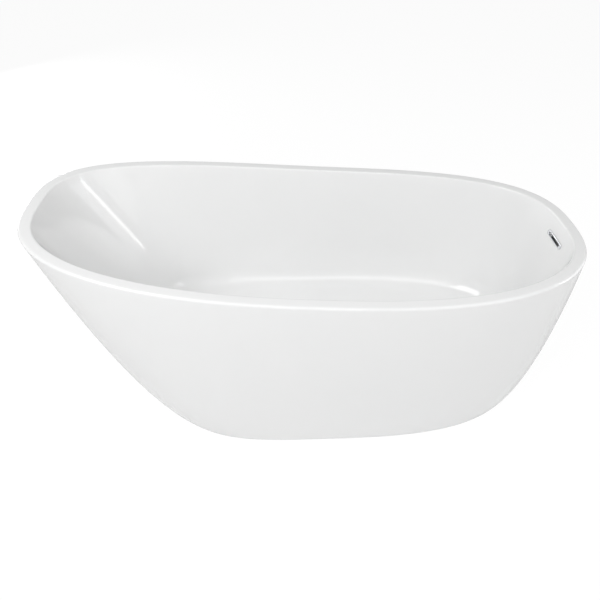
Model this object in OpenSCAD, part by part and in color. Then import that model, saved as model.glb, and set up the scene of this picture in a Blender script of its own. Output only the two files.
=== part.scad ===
// Freestanding double-skin slipper bath, +X toward the overflow end,
// origin on the floor under the middle of the overall box, millimetres.

/* [Overall] */
// overall length over the rim
length = 1700; // [1500:1900]
// overall width over the rim
width = 800; // [700:900]
// rim height above the floor at mid length
rim_mid = 617; // [560:700]
// how much the rim falls from mid length to the overflow end, straight part
rim_fall = 57; // [0:80]
// how much both rim ends lift, curved part
rim_lift = 39; // [0:60]
// widest section, measured from mid length toward the overflow end
wide_shift = 58; // [0:100]
// flat rim width, outer edge to basin edge
rim_w = 38; // [28:60]

/* [Basin] */
// inside floor height at the waste
floor_z = 150; // [140:190]
// basin corner line set in from the rim at the head end
inset_head = 350; // [250:420]
// the same at the overflow end
inset_foot = 115; // [90:180]
// the same at the sides
inset_side = 106; // [90:140]
// acrylic sheet thickness
sheet = 4; // [3:0.5:6]
// glass-fibre backing thickness
backing = 3; // [2:0.5:5]
// fall of the basin floor toward the waste, per mm
floor_fall = 0.008; // [0.004:0.001:0.02]

/* [Skirt] */
// base outline set in from the rim at the head end
base_in_head = 362; // [250:420]
// the same at the overflow end
base_in_foot = 133; // [80:200]
// the same at the sides
base_in_side = 30; // [10:60]
// gap between the skirt and the floor
skirt_gap = 2; // [1:0.5:6]
// width of the flange turned in along the skirt bottom
flange_w = 28; // [20:40]
// seam gap between basin lip and skirt, filled and polished in the real bath
seam = 0.3; // [0.1:0.1:1]

/* [Frame] */
// square steel tube size
tube = 25; // [20:30]
// tube wall
tube_t = 2; // [1.5:0.5:3]
// plywood board thickness
board_t = 18; // [12:25]
// rails set in from the base outline, each side
rail_in = 140; // [120:180]

/* [Levelling feet] */
// thread diameter of a foot
stud_d = 12; // [10:16]
// radial play of a stud in its nut
stud_play = 0.05; // [0.03:0.01:0.2]
// how far a foot can be screwed out
foot_travel = 17.5; // [10:18]
// pad diameter
pad_d = 50; // [40:60]

/* [Waste] */
// waste centre, measured in from the base outline at the overflow end
waste_in = 287; // [240:340]
// tailpiece outside diameter, the standard trap size
tail_d = 38.1; // [38:0.1:40]
// how far the push stopper moves
press = 9; // [6:11]
// radial play of the plunger in its sleeve
plunger_play = 0.1; // [0.05:0.05:0.3]

/* [Overflow] */
// slot centre below the basin edge
slot_drop = 59; // [45:70]
// slot height through the wall
slot_h = 14; // [12:18]
// hose outside diameter
hose_d = 31; // [28:34]
// hose bore
hose_bore = 26; // [22:28]
// bend radius of the hose centre line
hose_r = 100; // [80:120]

/* [Hidden] */
$fn = 64;
N = 60;                       // columns round every moulded shell
warp = 5;                     // opens the columns at the two ends
half = length/2;
hw = width/2;
z_lift = skirt_gap;
base_h = half - base_in_head; // base outline, head side
base_f = half - base_in_foot;
base_w = hw - base_in_side;
cor_h = half - inset_head;    // basin corner line
cor_f = half - inset_foot;
cor_w = hw - inset_side;
edge_out = 8;                 // outer rim edge radius
edge_in = 6;                  // inner rim edge radius
w_seam = 0.97;                // seam position up the skirt
w_gap = seam/850;
under_z = floor_z - sheet - backing;      // flat underside
board_z = under_z - board_t;
cross_z = board_z - tube;
rail_z = cross_z - tube;
rail_y = base_w - rail_in;
foot_xh = -(base_h - 158);
foot_xf = base_f - 177;
mid_x = 60;
rail_x0 = foot_xh - 50;
rail_x1 = foot_xf + 50;
drain_x = base_f - waste_in;
cross_x = [foot_xh, mid_x, drain_x - 110, drain_x + 110];
feet = [[foot_xh, rail_y], [foot_xh, -rail_y],
        [foot_xf, rail_y], [foot_xf, -rail_y], [mid_x, 0]];
nut_h = 10;
nut_z = rail_z - nut_h;
stud_r = stud_d/2 - stud_play;
pad_z = 3;                    // rubber sole thickness
pad_h = 11;
tie_x = [foot_xh + 60, foot_xf - 60];
// cross screws stand on these lines
screw_y = [-0.65, -0.35, 0.35, 0.65]*rail_y;

steel = [0.72, 0.73, 0.75];
chrome = [0.85, 0.86, 0.88];
white = [0.97, 0.97, 0.96];
grp = [0.78, 0.80, 0.70];
ply = [0.76, 0.62, 0.42];
black = [0.12, 0.12, 0.12];
abs_w = [0.90, 0.90, 0.88];

// ---- outlines: two half ovals of the same width joined at their widest ----
function ang(i) = 360*i/N + warp*sin(720*i/N);
function oval(t, cx, ah, af, b, nh, nf) =
    let (c = cos(t), s = sin(t), n = c < 0 ? nh : nf,
         k = pow(pow(abs(c), n) + pow(abs(s), n), -1/n))
    [cx + (c < 0 ? ah : af)*c*k, b*s*k];
function rim_xy(t) = oval(t, wide_shift, half + wide_shift,
    half - wide_shift, hw, 2.8, 2.6);
function base_xy(t) = oval(t, 0, base_h, base_f, base_w, 3.2, 3.13);
function cor_xy(t) = oval(t, 0, cor_h, cor_f, cor_w, 3.2, 2.7);
// outward plan normal of a closed outline from its two neighbours
function out2(a, b) = let (d = b - a, l = norm(d)) [d[1]/l, -d[0]/l];
function rim_n(t) = out2(rim_xy(t - 0.5), rim_xy(t + 0.5));
function base_n(t) = out2(base_xy(t - 0.5), base_xy(t + 0.5));
function cor_n(t) = out2(cor_xy(t - 0.5), cor_xy(t + 0.5));
function rim_z(x) = let (u = x/half) rim_mid - rim_fall*u + rim_lift*u*u;
// a point set in from the rim outline, dropped below the rim top
function at_rim(t, in, drop) = let (p = rim_xy(t) - in*rim_n(t))
    [p[0], p[1], rim_z(p[0]) - drop];
// weights of head end, overflow end and sides in every blended size
function wh(t) = pow(max(-cos(t), 0), 2);
function wf(t) = pow(max(cos(t), 0), 2);
function mix3(t, h, f, s) = h*wh(t) + f*wf(t) + s*(1 - wh(t) - wf(t));

// ---- outer skirt surface, w = 0 at the bottom to 1 under the rim edge ----
function skin(t, w) =
    let (k1 = mix3(t, 0.42, 0.9, 0), k2 = mix3(t, 0.35, 0.02, 0.02),
         r = 3*w*(1 - w)*(1 - w)*k1 + 3*w*w*(1 - w)*(1 - k2) + w*w*w,
         h = 1.65*w*w*(1 - w) + w*w*w,
         a = base_xy(t), b = rim_xy(t), top = rim_z(b[0]) - edge_out)
    [a[0]*(1 - r) + b[0]*r, a[1]*(1 - r) + b[1]*r, z_lift + (top - z_lift)*h];
function unit3(v) = v/norm(v);
function skin_n(t, w) = unit3(cross(skin(t + 0.4, w) - skin(t - 0.4, w),
    skin(t, w + 0.004) - skin(t, w - 0.004)));
function skin_in(t, w, d) = skin(t, w) - d*skin_n(t, w);

// ---- basin wall, v = 0 at the rim edge, 1 at the start of the floor
// fillet, 2 on the floor ----
function floor_at(p) = floor_z
    + floor_fall*max(0, norm([p[0] - drain_x, p[1]]) - 45);
function wall_lean(t) = let (p = rim_xy(t) - rim_w*rim_n(t), c = cor_xy(t))
    atan2(norm(p - c), rim_z(p[0]) - floor_z);
function edge_pt(t, f) = let (a = (90 - wall_lean(t))*f)
    at_rim(t, rim_w - edge_in + edge_in*sin(a), edge_in - edge_in*cos(a));
function cor_pt(t) = let (c = cor_xy(t)) [c[0], c[1], floor_at(c)];
function fil(t) = mix3(t, 130, 80, 56);
function wall(t, v) =
    let (p = edge_pt(t, 1), c = cor_pt(t), g = fil(t), l = norm(c - p),
         a = p + (c - p)*(1 - g/l), cn = cor_n(t),
         fx = [c[0] - g*cn[0], c[1] - g*cn[1]],
         f = [fx[0], fx[1], floor_at(fx)])
    v <= 1 ? p + (a - p)*v :
    let (u = v - 1, q = 1 - u, b1 = a + 0.58*(c - a), b2 = f + 0.58*(c - f))
    q*q*q*a + 3*q*q*u*b1 + 3*q*u*u*b2 + u*u*u*f;
function wall_n(t, v) = unit3(cross(wall(t + 0.4, v) - wall(t - 0.4, v),
    wall(t, max(v - 0.004, 0)) - wall(t, min(v + 0.004, 2))));
function wall_out(t, v, d) = v >= 2 ? wall(t, 2) - [0, 0, d]
    : wall(t, v) + d*wall_n(t, v);

run0 = norm(wall(0, 1) - wall(0, 0));
slot_a = (slot_drop - edge_in - slot_h/2)/run0;
slot_b = slot_a + slot_h/run0;
wall_v = [0, slot_a, slot_b, 0.42, 0.72, 1, 1.2, 1.4, 1.6, 1.8, 2];
nv = len(wall_v);
skin_w = [0.05, 0.12, 0.22, 0.34, 0.46, 0.58, 0.70, 0.82, 0.92,
    w_seam - w_gap];

function circ(r, z) = [for (i = [0:N - 1])
    [drain_x + r*cos(ang(i)), r*sin(ang(i)), z]];
function rev(a) = [for (i = [len(a) - 1:-1:0]) a[i]];
function rim_row(in, drop) = [for (i = [0:N - 1]) at_rim(ang(i), in, drop)];
function skin_row(w, d) = [for (i = [0:N - 1])
    d == 0 ? skin(ang(i), w) : skin_in(ang(i), w, d)];
function wall_row(v, d) = [for (i = [0:N - 1])
    d == 0 ? wall(ang(i), v) : wall_out(ang(i), v, d)];
function edge_row(f) = [for (i = [0:N - 1]) edge_pt(ang(i), f)];
function flat_row(in, z) = [for (i = [0:N - 1])
    let (p = base_xy(ang(i)) - in*base_n(ang(i))) [p[0], p[1], z]];
function set_z(r, z) = [for (p = r) [p[0], p[1], z]];

// A shell closed on itself: every row is a ring, the last row joins the
// first. ka and kb give the two row bands the overflow slot passes through.
// Bands fa to fb run backwards and take the other diagonal, so that bonded
// skins meet facet on facet.
module shell(rows, ka = -1, kb = -1, fa = 0, fb = -1) {
    K = len(rows);
    n1 = len(rows[0]);
    function id(k, i) = ((k + K) % K)*n1 + ((i + n1) % n1);
    function open(k, i) = (k == ka || k == kb) && (i == 0 || i == n1 - 1);
    function quad(k, i) = [id(k, i), id(k + 1, i), id(k + 1, i + 1),
        id(k, i + 1)];
    la = [id(ka, -1), id(ka + 1, -1), id(ka + 1, 0), id(ka + 1, 1),
          id(ka, 1), id(ka, 0)];
    lb = [id(kb + 1, -1), id(kb, -1), id(kb, 0), id(kb, 1),
          id(kb + 1, 1), id(kb + 1, 0)];
    polyhedron(points = [for (r = rows) for (p = r) p],
        faces = concat(
            [for (k = [0:K - 1], i = [0:n1 - 1]) if (!open(k, i))
                let (q = quad(k, i), f = k >= fa && k <= fb ? 1 : 0)
                [q[f], q[f + 1], q[f + 2]]],
            [for (k = [0:K - 1], i = [0:n1 - 1]) if (!open(k, i))
                let (q = quad(k, i), f = k >= fa && k <= fb ? 1 : 0)
                [q[f], q[f + 2], q[(f + 3) % 4]]],
            ka < 0 ? [] : [for (m = [0:5]) let (n = (m + 1) % 6)
                [la[m], la[n], lb[n]]],
            ka < 0 ? [] : [for (m = [0:5]) let (n = (m + 1) % 6)
                [la[m], lb[n], lb[m]]]),
        convexity = 8);
}

module basin() color(white) {
    top = [skin_row(w_seam, 0), skin_row(0.985, 0), skin_row(1, 0),
        rim_row(edge_out*(1 - cos(30)), edge_out*(1 - sin(30))),
        rim_row(edge_out*(1 - cos(60)), edge_out*(1 - sin(60))),
        rim_row(edge_out, 0), rim_row(rim_w - edge_in, 0),
        edge_row(0.33), edge_row(0.67)];
    inside = [for (v = wall_v) wall_row(v, 0)];
    drain = [circ(45, floor_z), circ(38, floor_z), circ(38, floor_z - 3),
        circ(25, floor_z - 3), circ(25, under_z), circ(45, under_z),
        circ(45, floor_z - sheet)];
    outside = [for (v = rev(wall_v)) wall_row(v, sheet)];
    back = [rim_row(rim_w - edge_in, sheet), rim_row(edge_out + 4, sheet),
        rim_row(edge_out, sheet), skin_row(1, sheet),
        skin_row(0.985, sheet), skin_row(w_seam, sheet)];
    a = len(top) + 1;
    b = len(top) + nv + len(drain) + nv - 3;
    first = len(top) + nv + len(drain) - 1;
    shell(concat(top, inside, drain, outside, back), a, b,
        first, first + nv + len(back) - 1);
}

module basin_backing() color(grp) {
    d2 = sheet + backing;
    rows = concat([rim_row(edge_out + 4, sheet),
            rim_row(rim_w - edge_in, sheet)],
        [for (v = wall_v) wall_row(v, sheet)],
        [circ(45, floor_z - sheet), circ(45, under_z),
            set_z(wall_row(2, 0), under_z)],
        [for (k = [nv - 2:-1:0]) wall_row(wall_v[k], d2)],
        [rim_row(rim_w - edge_in - 2, d2), rim_row(edge_out + 4, d2)]);
    shell(rows, 3, 2 + nv + 3 + nv - 4);
}

module skirt() color(white)
    shell(concat([skin_row(0, 0)], [for (w = skin_w) skin_row(w, 0)],
        [for (w = rev(skin_w)) skin_row(w, sheet)],
        [flat_row(sheet, z_lift + sheet), flat_row(flange_w, z_lift + sheet),
         flat_row(flange_w, z_lift)]),
        fa = len(skin_w) + 1, fb = 2*len(skin_w) - 1);

// fibre backing of the skirt, carried up past the seam to tie both skins
module skirt_backing() color(grp) {
    ws = [for (k = [1:len(skin_w) - 1]) skin_w[k]];
    d2 = sheet + backing;
    shell(concat([for (w = ws) skin_row(w, sheet)],
        [skin_row(w_seam, sheet), skin_row(0.985, sheet),
         skin_row(0.985, d2), skin_row(w_seam, d2)],
        [for (w = rev(ws)) skin_row(w, d2)]));
}

// ---- plywood board bonded under the flat of the basin ----
board_x0 = foot_xh - 5;
board_x1 = drain_x + 200;
board_y = cor_w - 79;
module base_board() color(ply) translate([0, 0, board_z]) difference() {
    union() {
        translate([board_x0 + 80, -board_y, 0])
            cube([board_x1 - board_x0 - 160, 2*board_y, board_t]);
        translate([board_x0, 80 - board_y, 0])
            cube([board_x1 - board_x0, 2*board_y - 160, board_t]);
        for (x = [board_x0 + 80, board_x1 - 80], y = [-1, 1])
            translate([x, y*(board_y - 80), 0]) cylinder(r = 80, h = board_t);
    }
    translate([drain_x, 0, -1]) cylinder(r = 50, h = board_t + 2);
    for (x = cross_x, y = screw_y) translate([x, y, -1])
        cylinder(r = 2.2, h = 14);
}

// ---- welded tube frame ----
module tube_x(x0, x1) difference() {
    translate([x0, -tube/2, 0]) cube([x1 - x0, tube, tube]);
    translate([x0 - 1, -tube/2 + tube_t, tube_t])
        cube([x1 - x0 + 2, tube - 2*tube_t, tube - 2*tube_t]);
}
module rail(s) color(steel) translate([0, s*rail_y, rail_z]) difference() {
    tube_x(rail_x0, rail_x1);
    for (x = [foot_xh, foot_xf]) translate([x, 0, -1])
        cylinder(r = stud_d/2 + 0.5, h = tube_t + 2);
    for (x = tie_x) translate([x, s*(tube/2 - tube_t - 1), tube/2])
        rotate([-90*s, 0, 0]) cylinder(r = 2.6, h = tube_t + 2);
}
module rail_left() rail(1);
module rail_right() rail(-1);
module cross_bar(x) color(steel) translate([x, 0, cross_z]) difference() {
    rotate([0, 0, 90]) tube_x(-rail_y - tube/2, rail_y + tube/2);
    for (y = screw_y) translate([0, y, -1]) cylinder(r = 2.4, h = tube + 2);
}
module cross_head() cross_bar(cross_x[0]);
module cross_mid() cross_bar(cross_x[1]);
module cross_waste() cross_bar(cross_x[2]);
module cross_foot() cross_bar(cross_x[3]);
module frame_spacer() color(steel) translate([mid_x, 0, rail_z]) difference() {
    rotate([0, 0, 90]) tube_x(-35, 35);
    translate([0, 0, -1]) cylinder(r = stud_d/2 + 0.5, h = tube_t + 2);
}
module rail_caps() color(black) for (s = [-1, 1], e = [0, 1])
    translate([e ? rail_x1 : rail_x0, s*rail_y, rail_z + tube/2])
    rotate([0, e ? 0 : 180, 0]) {
        translate([0, -tube/2, -tube/2]) cube([2.5, tube, tube]);
        translate([-12, -tube/2 + tube_t + 0.1, -tube/2 + tube_t + 0.1])
            cube([12, tube - 2*tube_t - 0.2, tube - 2*tube_t - 0.2]);
    }
module hex_nut(af, h, r) difference() {
    cylinder(d = af/cos(30), h = h, $fn = 6);
    translate([0, 0, -1]) cylinder(r = r, h = h + 2);
}
module weld_nuts() color(steel) for (p = feet)
    translate([p[0], p[1], nut_z]) hex_nut(stud_d + 7, nut_h, stud_d/2);
module foot_locknuts() color(steel) for (p = feet)
    translate([p[0], p[1], nut_z - 7]) hex_nut(stud_d + 7, 7, stud_d/2);
module frame_screws() color(steel) for (x = cross_x, y = screw_y)
    translate([x, y, cross_z]) {
        cylinder(r = 2.1, h = tube + 12);
        translate([0, 0, -3]) cylinder(r1 = 3.4, r2 = 4.4, h = 3);
    }

// ---- ties between the rails and the skirt flange ----
function base_y(x) = base_w*pow(1 - pow(abs(x)/(x < 0 ? base_h : base_f),
    x < 0 ? 3.2 : 3.13), x < 0 ? 1/3.2 : 1/3.13);
tie_z = z_lift + sheet + 1.5;
module tie(x, s) translate([x, 0, 0]) {
    y0 = rail_y + tube/2;
    y1 = min(base_y(x - 15), base_y(x + 15)) - 7;
    difference() {
        translate([-15, s > 0 ? y0 : -y0 - 3, tie_z])
            cube([30, 3, rail_z + tube - tie_z]);
        translate([0, s*(y0 - 1), rail_z + tube/2]) rotate([-90*s, 0, 0])
            cylinder(r = 2.6, h = 5);
    }
    translate([-15, s > 0 ? y0 : -y1, tie_z]) cube([30, y1 - y0, 3]);
}
module skirt_ties() color(steel) for (x = tie_x, s = [-1, 1]) tie(x, s);
module tie_screws() color(steel) for (x = tie_x, s = [-1, 1])
    translate([x, s*(rail_y + tube/2 + 3), rail_z + tube/2])
    rotate([-90*s, 0, 0]) {
        cylinder(r1 = 4.6, r2 = 3.6, h = 3);
        translate([0, 0, -11]) cylinder(r = 2.5, h = 11);
    }
module tie_bonds() color([0.3, 0.3, 0.32]) for (x = tie_x, s = [-1, 1])
    translate([x, s*(base_y(x) - 18), z_lift + sheet])
    translate([-12, -6, 0]) cube([24, 12, 1.5]);

// ---- one levelling foot ----
stud_top = rail_z + 21;
module stud(k) color(steel) translate([feet[k][0], feet[k][1], 0]) {
    translate([0, 0, pad_z + 4]) cylinder(r = stud_r - 1, h = 8);
    translate([0, 0, pad_z + pad_h]) cylinder(d = 17/cos(30), h = 8, $fn = 6);
    translate([0, 0, pad_z + pad_h + 8])
        cylinder(r = stud_r, h = stud_top - pad_z - pad_h - 9);
    translate([0, 0, stud_top - 1])
        cylinder(r1 = stud_r, r2 = stud_r - 1, h = 1);
}
module pad(k) color(black) translate([feet[k][0], feet[k][1], pad_z])
    difference() {
        union() {
            cylinder(d = pad_d, h = 4);
            translate([0, 0, 4])
                cylinder(d1 = pad_d - 4, d2 = 24, h = pad_h - 5);
            cylinder(d = 24, h = pad_h);
        }
        translate([0, 0, 4]) cylinder(r = stud_r - 0.9, h = pad_h);
    }
module sole(k) color([0.2, 0.2, 0.2]) translate([feet[k][0], feet[k][1], 0])
    cylinder(d = pad_d, h = pad_z);
module foot_1_stud() stud(0);
module foot_2_stud() stud(1);
module foot_3_stud() stud(2);
module foot_4_stud() stud(3);
module foot_5_stud() stud(4);
module foot_1_pad() pad(0);
module foot_2_pad() pad(1);
module foot_3_pad() pad(2);
module foot_4_pad() pad(3);
module foot_5_pad() pad(4);
module foot_1_sole() sole(0);
module foot_2_sole() sole(1);
module foot_3_sole() sole(2);
module foot_4_sole() sole(3);
module foot_5_sole() sole(4);

// ---- waste, heights counted from the basin floor at the waste ----
tail_r = tail_d/2;
inlet_z = floor_z - 72;
module at_waste(z) translate([drain_x, 0, floor_z + z]) children();
module ring(ro, ri, h) difference() {
    cylinder(r = ro, h = h);
    translate([0, 0, -1]) cylinder(r = ri, h = h + 2);
}
module drain_flange() color(chrome) at_waste(0) {
    difference() {
        union() {
            translate([0, 0, -2]) cylinder(r = 36, h = 1.5);
            translate([0, 0, -0.5]) cylinder(r1 = 36, r2 = 33, h = 1);
            translate([0, 0, -50]) cylinder(r = 23, h = 49);
        }
        translate([0, 0, -51]) cylinder(r = 20, h = 55);
        translate([0, 0, -1]) cylinder(r = 25.5, h = 3);
    }
    translate([0, 0, -50]) difference() {
        union() {
            cylinder(r = 9, h = 10);
            for (a = [0, 120, 240]) rotate([0, 0, a])
                translate([6, -2, 1]) cube([15, 4, 7]);
        }
        translate([0, 0, -1]) cylinder(r = 5, h = 12);
    }
}
module flange_seal() color(abs_w) at_waste(-3) ring(36, 24, 1);
module drain_gasket() color(black) at_waste(-10) ring(40, 26, 3);
module drain_shoe() color(abs_w) at_waste(0) difference() {
    union() {
        translate([0, 0, -17]) cylinder(r = 40, h = 7);
        translate([0, 0, -95]) cylinder(r = 28, h = 80);
        translate([0, 0, -114]) cylinder(r = 24, h = 20);
        translate([20, 0, -72]) rotate([0, 90, 0])
            cylinder(r = hose_bore/2 - 0.05, h = 42);
    }
    translate([0, 0, -50]) cylinder(r = 23.1, h = 41);
    translate([0, 0, -91]) cylinder(r = 25, h = 42);
    translate([0, 0, -115]) cylinder(r = 17, h = 30);
    translate([0, 0, -115]) cylinder(r = tail_r + 0.15, h = 19);
    translate([15, 0, -72]) rotate([0, 90, 0])
        cylinder(r = hose_bore/2 - 2.5, h = 50);
}
tail_top = floor_z - 97;
tail_step = 0.3;              // the gripped end is drawn down this much
shoulder = floor_z - 124;     // where the full outlet size begins
module tailpiece() color(chrome) translate([drain_x, 0, 3]) difference() {
    union() {
        cylinder(r = tail_r, h = shoulder - 3);
        cylinder(r = tail_r - tail_step, h = tail_top - 3);
    }
    translate([0, 0, -1]) cylinder(r = tail_r - 1.5, h = tail_top + 2);
}
module tailpiece_washer() color(abs_w) at_waste(-118)
    ring(24, tail_r - tail_step + 0.05, 4);
module tailpiece_nut() color(abs_w) at_waste(-122) difference() {
    union() {
        cylinder(r = 29, h = 20);
        for (a = [0:45:315]) rotate([0, 0, a])
            translate([27, -3, 1]) cube([4.5, 6, 17]);
    }
    translate([0, 0, -1]) cylinder(r = tail_r + 0.5, h = 6);
    translate([0, 0, 4]) cylinder(r = 24.1, h = 20);
}

// ---- push-to-close stopper, drawn open ----
up = press;
sleeve_z = -36;
plug_z = 1.1 + up;            // underside of the cap
plunge_z = -22 + up;          // foot of the plunger
module stopper_cap() color(chrome) at_waste(plug_z) difference() {
    union() {
        cylinder(r = 29, h = 1.5);
        translate([0, 0, 1.5]) cylinder(r1 = 29, r2 = 27, h = 1.4);
        translate([0, 0, 2.9]) cylinder(r1 = 27, r2 = 20, h = 1.8);
        translate([0, 0, 4.7]) cylinder(r1 = 20, r2 = 8, h = 1.2);
    }
    translate([0, 0, -1]) cylinder(r = 3.05, h = 4.1);
}
module stopper_seal() color(black) at_waste(plug_z - 2) ring(24, 16, 2);
module cartridge_plunger() color(steel) at_waste(plunge_z) {
    cylinder(r = 6.1 - plunger_play, h = plug_z - plunge_z);
    translate([0, 0, plug_z - plunge_z - 1]) cylinder(r = 3, h = 4);
}
module cartridge_body() color(steel) at_waste(0) {
    translate([0, 0, -50]) cylinder(r = 4.95, h = 11);
    translate([0, 0, -40]) cylinder(r = 9, h = 4);
    translate([0, 0, -37]) ring(9, 6.1, 33);
}
coil_r = 4.6;
wire_r = 0.8;
turns = 6;
module cartridge_spring() color(steel) at_waste(sleeve_z + wire_r) {
    seg = 16*turns;
    h = plunge_z - sleeve_z - 2*wire_r;
    pts = [for (k = [0:seg], j = [0:5])
        let (a = 360*turns*k/seg, b = 60*j, r = coil_r + wire_r*cos(b))
        [r*cos(a), r*sin(a), h*k/seg + wire_r*sin(b)]];
    e = 6*seg;
    polyhedron(points = pts, convexity = 8, faces = concat(
        [for (k = [0:seg - 1], j = [0:5]) let (m = (j + 1) % 6)
            [6*k + j, 6*k + m, 6*k + 6 + m]],
        [for (k = [0:seg - 1], j = [0:5]) let (m = (j + 1) % 6)
            [6*k + j, 6*k + 6 + m, 6*k + 6 + j]],
        [[0, 5, 4, 3, 2, 1], [e, e + 1, e + 2, e + 3, e + 4, e + 5]]));
}

// ---- overflow, drawn square to the wall at the slot ----
slot_p = wall(0, (slot_a + slot_b)/2);
lean = atan2(wall(0, 0)[0] - wall(0, 1)[0], wall(0, 0)[2] - wall(0, 1)[2]);
wall_t = sheet + backing;
// half width of the block that fills the slot, and its two screws
blk = wall(ang(1), (slot_a + slot_b)/2)[1] - 3;
post_y = blk - 6.5;
module at_slot() translate(slot_p) rotate([0, lean, 0]) children();
module pill(w, h, t) {
    translate([0, (h - w)/2, -h/2]) cube([t, w - h, h]);
    for (s = [-1, 1]) translate([0, s*(w - h)/2, 0]) rotate([0, 90, 0])
        cylinder(d = h, h = t);
}
// the wall bows inward towards the trim's two ends, and the trim stands clear
trim_end = blk + 9.5;
bow_1 = wall(ang(1), (slot_a + slot_b)/2) - slot_p;
bow_2 = wall(ang(2), (slot_a + slot_b)/2) - slot_p;
bow_k = (trim_end - bow_1[1])/(bow_2[1] - bow_1[1]);
bow = (1 - bow_k)*bow_1 + bow_k*bow_2;
stand = max(2.2, 0.1 - bow[0]*cos(lean) + bow[2]*sin(lean));
module overflow_trim() color(chrome) at_slot() {
    difference() {
        union() {
            translate([-stand - 2.5, 0, 0]) pill(2*blk + 19, 18, 2.5);
            translate([-stand - 0.5, -blk, -6]) cube([stand + 10, 2*blk, 12]);
        }
        translate([-stand - 3, -post_y, -4.5])
            cube([stand + 4, 2*post_y, 9]);
        translate([-stand, 6 - post_y, -4.5])
            cube([stand + 15, 2*post_y - 12, 9]);
        for (s = [-1, 1]) translate([-1, s*post_y, 0]) rotate([0, 90, 0])
            cylinder(r = 1.8, h = 20);
        for (s = [-1, 1]) translate([-stand - 3, s*post_y, 0])
            rotate([0, 90, 0]) cylinder(r = 3.6, h = stand + 7.8);
    }
}
module overflow_gasket() color(black) at_slot() difference() {
    translate([wall_t, 0, 0]) pill(2*blk + 27, 32, 2.5);
    translate([wall_t - 1, -blk - 2, -7.5]) cube([5, 2*blk + 4, 15]);
}
box_x = wall_t + 2.5;
module overflow_box() color(abs_w) at_slot() difference() {
    union() {
        difference() {
            union() {
                translate([box_x, 0, 0]) pill(2*blk + 27, 32, 2.5);
                translate([box_x + 0.5, -blk - 7.5, -15])
                    cube([22.5, 2*blk + 15, 30]);
                translate([box_x + 0.5, -19, -50]) cube([28, 38, 40]);
                translate([24, 0, -78])
                    cylinder(r = hose_bore/2 - 0.05, h = 32);
            }
            translate([box_x - 1, -blk - 0.5, -6.5]) cube([6, 2*blk + 1, 13]);
            translate([box_x + 2.4, -blk - 4.5, -12])
                cube([17.6, 2*blk + 9, 24]);
            translate([box_x + 3, -16, -47]) cube([23, 32, 45]);
            translate([24, 0, -79]) cylinder(r = hose_bore/2 - 2.5, h = 36);
        }
        // two posts hold the trim screws
        for (s = [-1, 1]) translate([box_x + 1, s*post_y - 4, -13])
            cube([7, 8, 26]);
    }
    for (s = [-1, 1]) translate([box_x - 1, s*post_y, 0]) rotate([0, 90, 0])
        cylinder(r = 1.75, h = 12);
}
module overflow_screws() color(steel) at_slot() for (s = [-1, 1])
    translate([3, s*post_y, 0]) rotate([0, 90, 0]) {
        cylinder(r = 3.4, h = 1.8);
        cylinder(r = 1.7, h = box_x + 4);
    }
hose_ro = hose_d/2;
hose_ri = hose_bore/2;
hx = slot_p + [24*cos(lean) - 50*sin(lean), 0, -24*sin(lean) - 50*cos(lean)];
arc_z = inlet_z + hose_r*(1 - sin(lean));
arc_x = hx[0] - (hx[2] - arc_z)*tan(lean);
bend_x = arc_x - hose_r*cos(lean);
hose_n = 24;
// one ring of the hose, a = direction of the centre line below vertical
function hose_ring(p, a, r) = [for (i = [0:hose_n - 1])
    let (b = 360*i/hose_n, d = r*sin(b))
    [p[0] + d*cos(a), p[1] + r*cos(b), p[2] - d*sin(a)]];
function hose_rows(r) = concat([hose_ring(hx, lean, r)],
    [for (k = [0:10]) let (a = lean + (90 - lean)*k/10)
        hose_ring([bend_x + hose_r*cos(a), 0,
            inlet_z + hose_r*(1 - sin(a))], a, r)],
    [hose_ring([drain_x + 32, 0, inlet_z], 90, r)]);
module overflow_hose() color([0.75, 0.76, 0.78])
    shell(concat(hose_rows(hose_ro), rev(hose_rows(hose_ri/cos(180/hose_n)))));
module band() {
    ring(hose_ro + 1, hose_ro, 9);
    translate([-4, hose_ro + 0.5, 0]) cube([12, 5, 9]);
}
module hose_clamp_upper() color(steel) translate(hx) rotate([0, lean, 0])
    translate([0, 0, -22]) band();
module hose_clamp_lower() color(steel)
    translate([drain_x + 44, 0, inlet_z]) rotate([0, 90, 0]) band();

basin();
basin_backing();
skirt();
skirt_backing();
base_board();
rail_left();
rail_right();
cross_head();
cross_mid();
cross_waste();
cross_foot();
frame_spacer();
rail_caps();
weld_nuts();
foot_locknuts();
frame_screws();
skirt_ties();
tie_screws();
tie_bonds();
foot_1_stud();
foot_1_pad();
foot_1_sole();
foot_2_stud();
foot_2_pad();
foot_2_sole();
foot_3_stud();
foot_3_pad();
foot_3_sole();
foot_4_stud();
foot_4_pad();
foot_4_sole();
foot_5_stud();
foot_5_pad();
foot_5_sole();
drain_flange();
flange_seal();
drain_gasket();
drain_shoe();
tailpiece();
tailpiece_nut();
tailpiece_washer();
stopper_cap();
stopper_seal();
cartridge_plunger();
cartridge_body();
cartridge_spring();
overflow_trim();
overflow_gasket();
overflow_box();
overflow_screws();
overflow_hose();
hose_clamp_upper();
hose_clamp_lower();
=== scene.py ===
import math

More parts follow.
